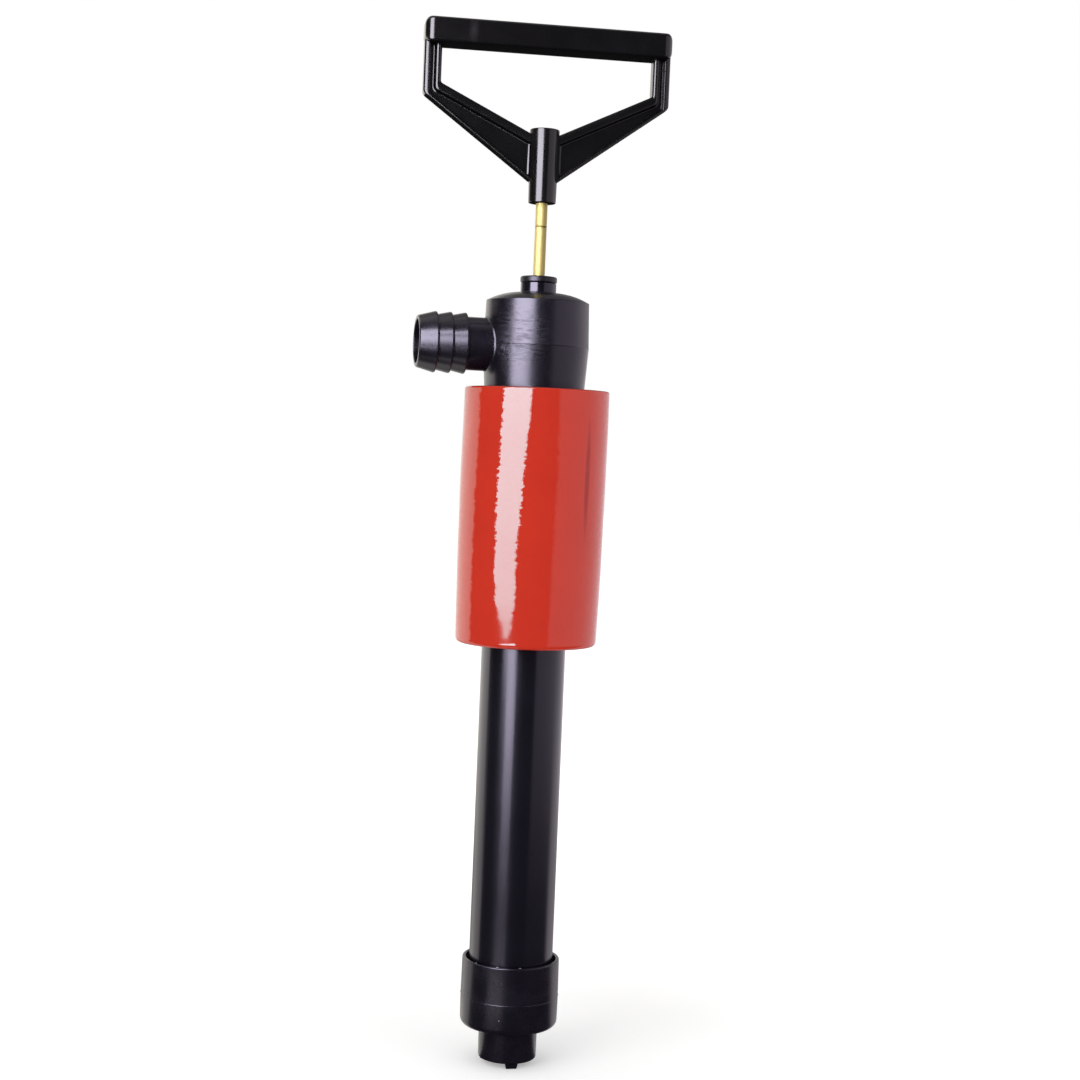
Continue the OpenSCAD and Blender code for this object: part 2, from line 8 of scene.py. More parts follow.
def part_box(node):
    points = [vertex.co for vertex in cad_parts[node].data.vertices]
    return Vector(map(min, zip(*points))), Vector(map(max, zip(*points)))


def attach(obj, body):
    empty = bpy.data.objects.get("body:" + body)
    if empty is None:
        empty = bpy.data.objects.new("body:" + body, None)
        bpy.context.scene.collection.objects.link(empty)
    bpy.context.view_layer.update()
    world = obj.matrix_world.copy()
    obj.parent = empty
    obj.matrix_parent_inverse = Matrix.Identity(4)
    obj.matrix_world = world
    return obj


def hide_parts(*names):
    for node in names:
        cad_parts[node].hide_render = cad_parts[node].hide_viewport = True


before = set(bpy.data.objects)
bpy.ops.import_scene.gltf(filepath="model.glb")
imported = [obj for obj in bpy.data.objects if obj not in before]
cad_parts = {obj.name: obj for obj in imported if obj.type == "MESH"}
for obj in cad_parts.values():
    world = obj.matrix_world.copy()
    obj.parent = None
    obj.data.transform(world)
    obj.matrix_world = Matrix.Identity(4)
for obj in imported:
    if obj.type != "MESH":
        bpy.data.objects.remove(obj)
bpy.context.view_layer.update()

# Barrel tube: a length of 40 mm pipe with a 2 mm wall, extruded in black PVC and sawn square.
# It is solvent welded into the foot cap below and the head cap above.
MM = 0.001
TURN_STEPS = 192


def heights(node):
    """Lowest and highest point of a CAD node in mm."""
    low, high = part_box(node)
    return low.z / MM, high.z / MM


def eased(corners, steps=6):
    """Closed outline in mm from corners (x, y, radius), each rounded off by its own radius."""
    points = []
    for i, (x, y, radius) in enumerate(corners):
        here = Vector((x, y))
        back = Vector(corners[i - 1][:2]) - here
        on = Vector(corners[(i + 1) % len(corners)][:2]) - here
        if radius == 0:
            points.append(here)
            continue
        half = back.angle(on) / 2
        reach = radius / math.tan(half)
        centre = here + (back.normalized() + on.normalized()).normalized() * (radius / math.sin(half))
        first = here + back.normalized() * reach - centre
        last = here + on.normalized() * reach - centre
        start = math.atan2(first.y, first.x)
        sweep = (math.atan2(last.y, last.x) - start + math.pi) % math.tau - math.pi
        for k in range(steps + 1):
            angle = start + sweep * k / steps
            points.append(centre + Vector((math.cos(angle), math.sin(angle))) * radius)
    return points


def turned(profile, steps=TURN_STEPS, shift=None):
    """Closed mesh of revolution about Z from points of radius and height in mm.
    shift gives how far a point moves outwards, from its radius, angle and height."""
    bm = bmesh.new()
    rings = []
    for r, z in profile:
        ring = []
        for k in range(steps if r > 1e-6 else 1):
            angle = math.tau * k / steps
            reach = r + (shift(r, angle, z) if shift else 0)
            ring.append(bm.verts.new(Vector((reach * math.cos(angle), reach * math.sin(angle), z)) * MM))
        rings.append(ring)
    for low, high in zip(rings, rings[1:] + rings[:1]):
        for k in range(steps):
            j = k + 1
            sides = (low[k % len(low)], low[j % len(low)], high[j % len(high)], high[k % len(high)])
            corners = list(dict.fromkeys(sides))
            if len(corners) > 2:
                bm.faces.new(corners)
    bmesh.ops.recalc_face_normals(bm, faces=bm.faces)
    return bm


def keep(bm, name, body, finish, stands_for=None, sharp=32):
    """Makes a shaded piece of a mesh, with its finish and the CAD body that it rides on."""
    mesh = bpy.data.meshes.new(name)
    bm.to_mesh(mesh)
    bm.free()
    mesh.shade_smooth()
    mesh.set_sharp_from_angle(angle=math.radians(sharp))
    mesh.materials.append(finish)
    piece = bpy.data.objects.new(name, mesh)
    bpy.context.scene.collection.objects.link(piece)
    piece.modifiers.new("even_shading", "WEIGHTED_NORMAL").keep_sharp = True
    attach(piece, body)
    if stands_for:
        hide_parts(stands_for)
    return piece


def linear(code):
    """Linear colour of an sRGB hex value."""
    parts = [int(code[i:i + 2], 16) / 255 for i in (1, 3, 5)]
    return (*[c / 12.92 if c <= 0.04045 else ((c + 0.055) / 1.055) ** 2.4 for c in parts], 1)


def per(size):
    """Texture scale at which a pattern's features are that many mm across."""
    return 1 / (size * MM)


def put(tree, kind, inputs=None, **settings):
    """Adds a shader node with its settings, and sets each input or links it to another node's output."""
    made = tree.nodes.new(kind)
    for name, value in settings.items():
        setattr(made, name, value)
    for name, value in (inputs or {}).items():
        if isinstance(value, bpy.types.NodeSocket):
            tree.links.new(value, made.inputs[name])
        else:
            made.inputs[name].default_value = value
    return made


def blank(name):
    """New material with an empty node tree."""
    finish = bpy.data.materials.new(name)
    finish.use_nodes = True
    finish.node_tree.nodes.clear()
    return finish, finish.node_tree


# Extruded PVC: a deep black with a slight violet cast and faint die lines along the pipe. The haul-off
# leaves fine ripples round it, which draw its highlight out along the pipe into a long tail.
# Real die lines are about 0.1 mm wide. They are drawn 0.8 mm wide, so that they show.
VIOLET_CAST = (0.9, 0.83, 1, 1)
black_pvc, tree = blank("black_pvc_extruded")
place = put(tree, "ShaderNodeTexCoord").outputs["Object"]
round_pipe = put(tree, "ShaderNodeTangent", direction_type="RADIAL", axis="Z").outputs["Tangent"]
cloud = put(tree, "ShaderNodeTexNoise", {"Vector": place, "Scale": per(28), "Detail": 3}).outputs["Fac"]
along = put(tree, "ShaderNodeMapping", {"Vector": place, "Scale": (1, 1, 0.012)}).outputs["Vector"]
lines = put(tree, "ShaderNodeTexNoise", {"Vector": along, "Scale": per(0.8), "Detail": 2}).outputs["Fac"]
shade = put(tree, "ShaderNodeMix", {
    "Factor": cloud, 6: linear("#0d0c14"), 7: linear("#13121d")}, data_type="RGBA")
rough = put(tree, "ShaderNodeMapRange", {
    "Value": cloud, "From Min": 0.3, "From Max": 0.7, "To Min": 0.205, "To Max": 0.235})
grooves = put(tree, "ShaderNodeBump", {"Height": lines, "Strength": 0.5, "Distance": 0.00002})
skin = put(tree, "ShaderNodeBsdfPrincipled", {
    "Base Color": shade.outputs[2], "Roughness": rough.outputs["Result"], "IOR": 1.55,
    "Specular Tint": VIOLET_CAST, "Anisotropic": 0.6, "Anisotropic Rotation": 0.25, "Tangent": round_pipe,
    "Normal": grooves.outputs["Normal"]})
put(tree, "ShaderNodeOutputMaterial", {"Surface": skin.outputs["BSDF"]})

tube_low, tube_top = heights("pump_tube")
tube_r, bore_r = 20, 18
tube = turned(eased([
    (bore_r, tube_low, 0.2), (tube_r, tube_low, 0.3), (tube_r, tube_top, 0.3), (bore_r, tube_top, 0.2)]))
keep(tube, "barrel_tube", "barrel", black_pvc, "pump_tube")

# Foot cap: a black ABS moulding with an inlet spigot and three lugs that keep it off the bilge.
# The tube is welded into its socket, and the rim above the socket stands clear of the tube.

# ABS off a spark-eroded mould: a soft sheen over a fine grain, with faint flow marks. On the head cap a
# wipe with solvent has left streaks and a few pits beside the outlet's joint, which break its highlight,
# and the boss at the top is faced in the lathe and shines more.
# The grain of such a mould is about 0.1 mm. It is drawn 0.7 mm across, so that it shows.
black_abs, tree = blank("black_abs_moulded")
place = put(tree, "ShaderNodeTexCoord").outputs["Object"]
grain = put(tree, "ShaderNodeTexNoise", {"Vector": place, "Scale": per(0.7), "Detail": 2}).outputs["Fac"]
flow = put(tree, "ShaderNodeTexNoise", {
    "Vector": place, "Scale": per(9), "Detail": 4, "Distortion": 0.6}).outputs["Fac"]
wiped = put(tree, "ShaderNodeMapping", {
    "Vector": place, "Rotation": (0, math.radians(-16), 0), "Scale": (0.22, 0.22, 1)}).outputs["Vector"]
streaks = put(tree, "ShaderNodeTexNoise", {"Vector": wiped, "Scale": per(0.9), "Detail": 4}).outputs["Fac"]
spots = put(tree, "ShaderNodeTexNoise", {
    "Vector": place, "Scale": per(1.5), "Detail": 3, "Distortion": 0.8}).outputs["Fac"]
joint_side, wipe_side = (-0.0185, -0.0165, 0.3405), (-0.0125, -0.0215, 0.346)
boss_from, boss_to, boss_gloss, wipe_dulling = 0.3676, 0.3684, 0.6, 0.25
from_joint = put(tree, "ShaderNodeVectorMath", {
    0: place, 1: joint_side}, operation="DISTANCE").outputs["Value"]
near_joint = put(tree, "ShaderNodeMapRange", {
    "Value": from_joint, "From Min": 0.001, "From Max": 0.0065, "To Min": 1, "To Max": 0}).outputs["Result"]
from_wipe = put(tree, "ShaderNodeVectorMath", {0: place, 1: wipe_side}, operation="DISTANCE").outputs["Value"]
near_wipe = put(tree, "ShaderNodeMapRange", {
    "Value": from_wipe, "From Min": 0.004, "From Max": 0.017, "To Min": 1, "To Max": 0}).outputs["Result"]
pitted = put(tree, "ShaderNodeMapRange", {
    "Value": spots, "From Min": 0.56, "From Max": 0.66, "To Min": 0, "To Max": 1}).outputs["Result"]
streaked = put(tree, "ShaderNodeMapRange", {
    "Value": streaks, "From Min": 0.45, "From Max": 0.66, "To Min": 0, "To Max": 1}).outputs["Result"]
pits = put(tree, "ShaderNodeMath", {0: near_joint, 1: pitted}, operation="MULTIPLY").outputs["Value"]
wipes = put(tree, "ShaderNodeMath", {0: near_wipe, 1: streaked}, operation="MULTIPLY").outputs["Value"]
shade = put(tree, "ShaderNodeMix", {
    "Factor": flow, 6: linear("#0d0b14"), 7: linear("#15121e")}, data_type="RGBA")
marked = put(tree, "ShaderNodeMix", {
    "Factor": pits, 6: shade.outputs[2], 7: linear("#34323a")}, data_type="RGBA")
rough = put(tree, "ShaderNodeMapRange", {
    "Value": flow, "From Min": 0.3, "From Max": 0.7, "To Min": 0.23, "To Max": 0.3})
height = put(tree, "ShaderNodeSeparateXYZ", {"Vector": place}).outputs["Z"]
smoother = put(tree, "ShaderNodeMapRange", {
    "Value": height, "From Min": boss_from, "From Max": boss_to,
    "To Min": 1, "To Max": boss_gloss}).outputs["Result"]
faced = put(tree, "ShaderNodeMath", {
    0: rough.outputs["Result"], 1: smoother}, operation="MULTIPLY").outputs["Value"]
dulled = put(tree, "ShaderNodeMath", {0: wipes, 1: wipe_dulling, 2: faced}, operation="MULTIPLY_ADD")
dents = put(tree, "ShaderNodeBump", {"Height": pits, "Strength": 0.6, "Distance": 0.00018})
scores = put(tree, "ShaderNodeBump", {
    "Height": wipes, "Strength": 0.25, "Distance": 0.00005, "Normal": dents.outputs["Normal"]})
peel = put(tree, "ShaderNodeBump", {
    "Height": grain, "Strength": 0.15, "Distance": 0.00001, "Normal": scores.outputs["Normal"]})
skin = put(tree, "ShaderNodeBsdfPrincipled", {
    "Base Color": marked.outputs[2], "Roughness": dulled.outputs["Value"], "IOR": 1.52,
    "Specular Tint": VIOLET_CAST, "Normal": peel.outputs["Normal"]})
put(tree, "ShaderNodeOutputMaterial", {"Surface": skin.outputs["BSDF"]})

foot_low, foot_top = heights("foot_cap")
spigot_r, inlet_r, foot_r, rim_in_r, socket_r, ledge_r = 14, 11, 23.4, 21.6, 20.1, 17
spigot_z, shoulder_z, plenum_z, ledge_z, parting_z, relief_z = 2.5, 18.6, 21.5, 27, 33.2, 46
rim_r = foot_r - 0.2
flash, flash_low, flash_top, mould_shift = 0.12, 0.15, 0.3, 0.04
foot = turned(eased([
    (inlet_r, spigot_z, 0.6), (spigot_r, spigot_z, 1.2), (spigot_r, shoulder_z, 0.5), (rim_r, shoulder_z, 3),
    (foot_r, parting_z - flash_low, 0), (foot_r + flash, parting_z, 0),
    (foot_r - mould_shift, parting_z + flash_top, 0),
    (rim_r, foot_top, 0.6), (rim_in_r, foot_top, 0.35), (rim_in_r, relief_z, 0.3), (socket_r, relief_z, 0.2),
    (socket_r, ledge_z, 0), (ledge_r, ledge_z, 0.2), (ledge_r, plenum_z, 0.8), (inlet_r, plenum_z, 0.4)]))


def combined(first, second, operation):
    """Mesh of two closed meshes joined, or of the first cut by the second."""
    pair = []
    for bm in (first, second):
        mesh = bpy.data.meshes.new("working")
        bm.to_mesh(mesh)
        bm.free()
        pair.append(bpy.data.objects.new("working", mesh))
        bpy.context.scene.collection.objects.link(pair[-1])
    step = pair[0].modifiers.new("step", "BOOLEAN")
    step.object, step.operation, step.solver = pair[1], operation, "EXACT"
    found = pair[0].evaluated_get(bpy.context.evaluated_depsgraph_get())
    bm = bmesh.new()
    bm.from_mesh(found.to_mesh())
    found.to_mesh_clear()
    for used in pair:
        bpy.data.meshes.remove(used.data)
    return bm


def prism(outline, depth, bevel=0.3):
    """Plate standing in the XZ plane, centred on Y, with its edges eased. Sizes in mm."""
    bm = bmesh.new()
    sides = [[bm.verts.new(Vector((x, y, z)) * MM) for x, z in outline] for y in (-depth / 2, depth / 2)]
    bm.faces.new(sides[0])
    bm.faces.new(reversed(sides[1]))
    for k in range(len(outline)):
        j = (k + 1) % len(outline)
        bm.faces.new((sides[0][j], sides[0][k], sides[1][k], sides[1][j]))
    bmesh.ops.recalc_face_normals(bm, faces=bm.faces)
    bmesh.ops.bevel(bm, geom=bm.edges, offset=bevel * MM, segments=2, profile=0.5, affect="EDGES")
    return bm


LUG_COUNT = 3
lug_w, lug_taper, lug_root, lug_depth, lug_set = 6.6, 0.8, 3, 1.6, 0.9
for i in range(LUG_COUNT):
    lug = prism([
        (-lug_w / 2 + lug_taper, foot_low), (lug_w / 2 - lug_taper, foot_low),
        (lug_w / 2, lug_root), (-lug_w / 2, lug_root)], lug_depth)
    out = Matrix.Translation((0, -(inlet_r + lug_set) * MM, 0))
    around = Matrix.Rotation(math.tau * i / LUG_COUNT, 4, "Z")
    bmesh.ops.transform(lug, matrix=around @ out, verts=lug.verts)
    foot = combined(foot, lug, "UNION")
keep(foot, "foot_cap_moulding", "barrel", black_abs, "foot_cap")

# Cement specks: drops of the solvent cement that joins tube and foot, squeezed out and set on the rim.
# Dried cement: a greyish clear skin. Its pale grey is partly the cement's own colour and partly a painted
# highlight, so that each drop reads as a pale glint.
cement_and_painted_glint, tree = blank("pvc_cement_and_painted_glint")
place = put(tree, "ShaderNodeTexCoord").outputs["Object"]
cloud = put(tree, "ShaderNodeTexNoise", {"Vector": place, "Scale": per(0.6), "Detail": 3}).outputs["Fac"]
# Painted highlight, in part: the pale grey mix makes each drop read as a glint.
shade = put(tree, "ShaderNodeMix", {
    "Factor": cloud, 6: linear("#6f6d72"), 7: linear("#b9b7bb")}, data_type="RGBA")
skin = put(tree, "ShaderNodeBsdfPrincipled", {"Base Color": shade.outputs[2], "Roughness": 0.3, "IOR": 1.5})
put(tree, "ShaderNodeOutputMaterial", {"Surface": skin.outputs["BSDF"]})

SPECKS = (
    (-149, 21.75, 50.95, 0.34), (-117.5, 21.8, 51, 0.42), (-116, 21.9, 50.95, 0.26), (-89, 21.75, 51, 0.36),
    (-87.5, 21.9, 50.9, 0.24), (-112, 23.35, 26.2, 0.24))
speck_form, speck_lump, speck_uneven = (0.7, 1.5, 0.6, 1), 0.5, 0.12
noise.seed_set(1)  # without a seed, noise_vector differs from run to run
specks = bmesh.new()
for angle, r, z, size in SPECKS:
    turn = Matrix.Rotation(math.radians(angle), 4, "Z")
    at = turn @ Matrix.Translation(Vector((r, 0, z)) * MM) @ Matrix.Diagonal(speck_form)
    drop = bmesh.ops.create_icosphere(specks, subdivisions=2, radius=size * MM, matrix=at)
    for v in drop["verts"]:
        v.co += noise.noise_vector(v.co / (speck_lump * MM)) * speck_uneven * size * MM
keep(specks, "cement_specks", "barrel", cement_and_painted_glint, sharp=80)

# Foot valve: a ported plate and its rivet, punched and turned from white acetal, with a rubber disc
# that lifts off the ports on the up stroke. They are clamped between the tube and the ledge of the foot.
# Acetal: an ivory white with a waxy sheen, a little mottled where it has taken up bilge water.
white_acetal, tree = blank("white_acetal_machined")
place = put(tree, "ShaderNodeTexCoord").outputs["Object"]
stain = put(tree, "ShaderNodeTexNoise", {"Vector": place, "Scale": per(7), "Detail": 4}).outputs["Fac"]
shade = put(tree, "ShaderNodeMix", {
    "Factor": stain, 6: linear("#cdc9bd"), 7: linear("#b5b0a2")}, data_type="RGBA")
tooling = put(tree, "ShaderNodeTexNoise", {"Vector": place, "Scale": per(0.4), "Detail": 2}).outputs["Fac"]
marks = put(tree, "ShaderNodeBump", {"Height": tooling, "Strength": 0.3, "Distance": 0.00002})
skin = put(tree, "ShaderNodeBsdfPrincipled", {
    "Base Color": shade.outputs[2], "Roughness": 0.38, "IOR": 1.48, "Normal": marks.outputs["Normal"]})
put(tree, "ShaderNodeOutputMaterial", {"Surface": skin.outputs["BSDF"]})

# Nitrile rubber: a dull charcoal with a bloom of paler dust, and no clear highlight.
nitrile, tree = blank("nitrile_rubber_moulded")
place = put(tree, "ShaderNodeTexCoord").outputs["Object"]
bloom = put(tree, "ShaderNodeTexNoise", {"Vector": place, "Scale": per(4), "Detail": 5}).outputs["Fac"]
shade = put(tree, "ShaderNodeMix", {
    "Factor": bloom, 6: linear("#232325"), 7: linear("#37373a")}, data_type="RGBA")
texture = put(tree, "ShaderNodeBump", {"Height": bloom, "Strength": 0.4, "Distance": 0.00004})
skin = put(tree, "ShaderNodeBsdfPrincipled", {
    "Base Color": shade.outputs[2], "Roughness": 0.68, "IOR": 1.52, "Normal": texture.outputs["Normal"]})
put(tree, "ShaderNodeOutputMaterial", {"Surface": skin.outputs["BSDF"]})


def dress(finish, *nodes):
    """Gives CAD nodes a finish."""
    for name in nodes:
        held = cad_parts[name].data.materials
        held.clear()
        held.append(finish)


dress(white_acetal, "foot_valve_plate", "foot_valve_stem")
dress(nitrile, "foot_valve_disc")

# Piston: an acetal body with a rubber cup and a rubber valve disc held by a push-on steel ring.
# It hangs on the rod between a brass nut and a spring clip, with a spacer that limits the stroke.
# Stainless steel, rolled and stamped: a cool grey metal with fine rolling lines.
stainless, tree = blank("stainless_steel_stamped")
place = put(tree, "ShaderNodeTexCoord").outputs["Object"]
rolled = put(tree, "ShaderNodeMapping", {"Vector": place, "Scale": (0.08, 1, 1)}).outputs["Vector"]
lines = put(tree, "ShaderNodeTexNoise", {"Vector": rolled, "Scale": per(0.3), "Detail": 2}).outputs["Fac"]
shade = put(tree, "ShaderNodeMix", {
    "Factor": lines, 6: linear("#a9abaf"), 7: linear("#c3c5c8")}, data_type="RGBA")
grooves = put(tree, "ShaderNodeBump", {"Height": lines, "Strength": 0.3, "Distance": 0.00001})
skin = put(tree, "ShaderNodeBsdfPrincipled", {
    "Base Color": shade.outputs[2], "Metallic": 1, "Roughness": 0.3, "Normal": grooves.outputs["Normal"]})
put(tree, "ShaderNodeOutputMaterial", {"Surface": skin.outputs["BSDF"]})

dress(white_acetal, "piston_body", "stop_sleeve")
dress(nitrile, "piston_cup", "piston_valve_disc", "stop_bumper", "gland_packing")
dress(stainless, "piston_retainer", "rod_clip", "gland_washer")

# Piston rod: 5.5 mm brass bar, drawn, cut to length and pressed into the hub of the handle.
# A vice has left a nick round part of it, a little below the hub.

# Drawn brass: a pale gold with long fine scratches that stretch the highlight along the rod, and a little
# brown tarnish in the hollows and the nick. The scratches are drawn 0.25 mm wide, so that they show.
drawn_brass, tree = blank("brass_drawn")
place = put(tree, "ShaderNodeTexCoord").outputs["Object"]
along = put(tree, "ShaderNodeMapping", {"Vector": place, "Scale": (1, 1, 0.004)}).outputs["Vector"]
lines = put(tree, "ShaderNodeTexNoise", {"Vector": along, "Scale": per(0.25), "Detail": 3}).outputs["Fac"]
patches = put(tree, "ShaderNodeTexNoise", {"Vector": along, "Scale": per(2), "Detail": 2}).outputs["Fac"]
tarnish = put(tree, "ShaderNodeMapRange", {
    "Value": patches, "From Min": 0.4, "From Max": 0.75, "To Min": 0, "To Max": 1}).outputs["Result"]
shade = put(tree, "ShaderNodeMix", {
    "Factor": tarnish, 6: linear("#b8aa74"), 7: linear("#a4945a")}, data_type="RGBA")
nick_z, nick_reach = 398.9, 0.0004
height = put(tree, "ShaderNodeSeparateXYZ", {"Vector": place}).outputs["Z"]
from_nick = put(tree, "ShaderNodeMath", {
    0: height, 1: nick_z * MM, 2: nick_reach}, operation="COMPARE").outputs["Value"]
grimy = put(tree, "ShaderNodeMath", {0: from_nick, 1: patches}, operation="MULTIPLY").outputs["Value"]
shade = put(tree, "ShaderNodeMix", {
    "Factor": grimy, 6: shade.outputs[2], 7: linear("#2c2410")}, data_type="RGBA")
rough = put(tree, "ShaderNodeMapRange", {
    "Value": lines, "From Min": 0.3, "From Max": 0.7, "To Min": 0.6, "To Max": 0.7})
grooves = put(tree, "ShaderNodeBump", {"Height": lines, "Strength": 0.3, "Distance": 0.00002})
skin = put(tree, "ShaderNodeBsdfPrincipled", {
    "Base Color": shade.outputs[2], "Metallic": 1, "Roughness": rough.outputs["Result"],
    "Normal": grooves.outputs["Normal"]})
put(tree, "ShaderNodeOutputMaterial", {"Surface": skin.outputs["BSDF"]})

rod_low, rod_top = heights("piston_rod")
clip_low, clip_top = heights("rod_clip")
rod_r, groove_r, groove_room, rod_chamfer = 2.75, 2.3, 0.05, 0.4
nick_w, nick_depth, nick_side, nick_wave, nick_spread = 0.36, 0.24, math.radians(252), 0.25, 1.6
NICK_RINGS, nick_room, ring_step = 33, 1.6, 0.1


def nick(r, angle, z):
    """Depth of the vice mark at a point of the rod, as a move outwards."""
    aside = math.cos(angle - nick_side) + nick_wave * noise.noise(Vector((angle * 3, 0, 1)))
    height = nick_z + nick_wave * math.sin(angle * 2)
    return -nick_depth * max(0, min(1, aside * nick_spread)) * math.exp(-((z - height) / nick_w) ** 2)


nick_rings = [(rod_r, nick_z - nick_room + ring_step * k) for k in range(NICK_RINGS)]
rod = turned(
    [(0, rod_low), (rod_r - rod_chamfer, rod_low), (rod_r, rod_low + rod_chamfer),
     (rod_r, clip_low - groove_room), (groove_r, clip_low - groove_room),
     (groove_r, clip_top + groove_room), (rod_r, clip_top + groove_room),
     *nick_rings, (rod_r, rod_top - rod_chamfer), (rod_r - rod_chamfer, rod_top), (0, rod_top)],
    steps=72, shift=lambda r, angle, z: nick(r, angle, z) if r == rod_r else 0)
keep(rod, "brass_rod", "rod", drawn_brass, "piston_rod")
dress(drawn_brass, "rod_nut", "rod_washer")

# Head cap: a black ABS moulding that caps the tube, with a domed roof, a boss for the gland and a
# port for the outlet. The mould parts at the height of the port, where the cap is widest.
cap_low, cap_top = heights("head_cap")
skirt_r, cap_r, crown_r, cap_bore_r, boss_r, chamber_r, guide_r = 22.7, 25, 24.3, 18.8, 8.4, 5.6, 2.8
port_z, crown_z, dome_z, roof_z, chamber_z = 342.5, 363.8, 367.8, 360.3, 363.3
crown_round, boss_ease, skirt_ease = 0.5, 0.25, 0.3
wall_stop, upper_start, upper_stop, upper_step = 0.2, 0.35, 0.9, 0.05
DOME_STEPS, WALL_STEPS, CROWN_ANGLES = 14, 10, (0, 0.35, 0.7, 1.0)
dome_run = crown_r - crown_round - boss_r
dome_slope = 2 * math.atan((dome_z - crown_z) / dome_run)
dome_curve = dome_run / math.sin(dome_slope)
dome = [
    (boss_r + dome_curve * math.sin(t), dome_z - dome_curve * (1 - math.cos(t)))
    for t in (dome_slope * (1 - k / DOME_STEPS) for k in range(DOME_STEPS))]
crown = [
    (crown_r - crown_round + crown_round * math.cos(a), crown_z - crown_round + crown_round * math.sin(a))
    for a in CROWN_ANGLES]
wall_run, upper_run = port_z - wall_stop - cap_low, crown_z - upper_stop - port_z
wall = [
    (skirt_r + (cap_r - skirt_r) * k / WALL_STEPS, cap_low + wall_run * k / WALL_STEPS)
    for k in range(1, WALL_STEPS + 1)]
upper = [
    (cap_r - upper_step - (cap_r - crown_r) * k / WALL_STEPS,
     port_z + upper_start + upper_run * k / WALL_STEPS)
    for k in range(WALL_STEPS)]
cap = turned([
    (socket_r, cap_low), (skirt_r - skirt_ease, cap_low), (skirt_r, cap_low + skirt_ease), *wall,
    (cap_r + flash, port_z), *upper, *crown, *dome,
    (boss_r + boss_ease, dome_z), (boss_r, dome_z + boss_ease),
    (boss_r, cap_top - boss_ease), (boss_r - boss_ease, cap_top),
    (chamber_r, cap_top), (chamber_r, chamber_z), (guide_r, chamber_z), (guide_r, roof_z),
    (cap_bore_r, roof_z), (cap_bore_r, tube_top), (socket_r, tube_top)])


def sideways(profile, steps=TURN_STEPS):
    """Mesh of revolution about the outlet's axis, from points of radius and distance from the tube's axis."""
    bm = turned(profile, steps)
    lie = Matrix.Translation((0, 0, port_z * MM)) @ Matrix.Rotation(-math.pi / 2, 4, "Y")
    bmesh.ops.transform(bm, matrix=lie, verts=bm.verts)
    return bm


neck_r, outlet_r, neck_end, port_gap, port_from, port_to = 12.5, 10.3, 19.6, 0.1, 10, 40
port_stop = neck_end - 0.05
port = sideways([
    (0, port_from), (outlet_r, port_from), (outlet_r, port_stop), (neck_r + port_gap, port_stop),
    (neck_r + port_gap, port_to), (0, port_to)])
cap = combined(cap, port, "DIFFERENCE")
keep(cap, "head_cap_moulding", "barrel", black_abs, "head_cap")

# Outlet barb: a black ABS moulding for a 1 inch hose, with three crests whose steep sides face the pump.
# Its plain end is solvent welded into the port, where the softened plastic has squeezed out as a bead.
CRESTS = 3
crest_r, valley_r, tip_r, crest_pitch, crest_land, first_crest = 14.3, 12.9, 12.2, 7, 0.8, 34.1
barb_tip = -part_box("outlet_barb")[0].x / MM
corners = [(outlet_r, neck_end, 0.2), (neck_r, neck_end, 0.3)]
for i in range(CRESTS):
    s = first_crest + i * crest_pitch
    corners += [(neck_r if i == 0 else valley_r, s, 0.25), (crest_r, s, 0.3), (crest_r, s + crest_land, 0.45)]
corners += [(tip_r, barb_tip - 0.5, 0.35), (tip_r - 0.5, barb_tip, 0.3), (outlet_r, barb_tip, 0.4)]
keep(sideways(eased(corners)), "outlet_barb_moulding", "barrel", black_abs, "outlet_barb")


def cap_radius(z):
    """Outer radius of the head cap at a height near the port."""
    if z < port_z:
        return skirt_r + (cap_r - skirt_r) * (z - cap_low) / (port_z - cap_low)
    return cap_r - (cap_r - crown_r) * (z - port_z) / (crown_z - port_z)


def on_cap(r, angle, lift=0):
    """Point of the cap's side, at a radius and angle round the outlet's axis."""
    y, z = r * math.cos(angle), port_z + r * math.sin(angle)
    return Vector((-math.sqrt((cap_radius(z) + lift) ** 2 - y * y), y, z))


def band(bm, first, second, closed=True):
    """Adds the faces between two rows of points, which close into rings or stay open."""
    for k in range(len(first) if closed else len(first) - 1):
        j = (k + 1) % len(first)
        bm.faces.new((first[k], first[j], second[j], second[k]))


BEAD_STEPS, BEAD_CURVE, BEAD_WAVES = 160, 6, 3
bead_w, bead_uneven, bead_lift, bead_fold, bead_root, bead_sink = 0.9, 0.35, 0.02, 0.05, 0.15, 0.6
bead = bmesh.new()
sections = []
for k in range(BEAD_STEPS):
    angle = math.tau * k / BEAD_STEPS
    around = Vector((BEAD_WAVES * math.cos(angle), BEAD_WAVES * math.sin(angle), 4))
    width = bead_w + bead_uneven * noise.noise(around)
    foot_point = on_cap(neck_r + width, angle, bead_lift)
    corner = on_cap(neck_r + bead_fold, angle)
    neck_point = on_cap(neck_r + bead_lift, angle) - Vector((width, 0, 0))
    section = []
    for t in (j / BEAD_CURVE for j in range(BEAD_CURVE + 1)):
        section.append(foot_point * (1 - t) ** 2 + corner * 2 * t * (1 - t) + neck_point * t * t)
    section.append(on_cap(neck_r - bead_root, angle, -bead_sink))
    sections.append([bead.verts.new(p * MM) for p in section])
for a, b in zip(sections, sections[1:] + sections[:1]):
    band(bead, a, b)
bmesh.ops.recalc_face_normals(bead, faces=bead.faces)
keep(bead, "outlet_weld_bead", "barrel", black_abs)

# Gland nut: a round black plug with a flange, turned from PVC bar and pressed into the boss of the head
# cap. It holds the packing and the washer round the rod.

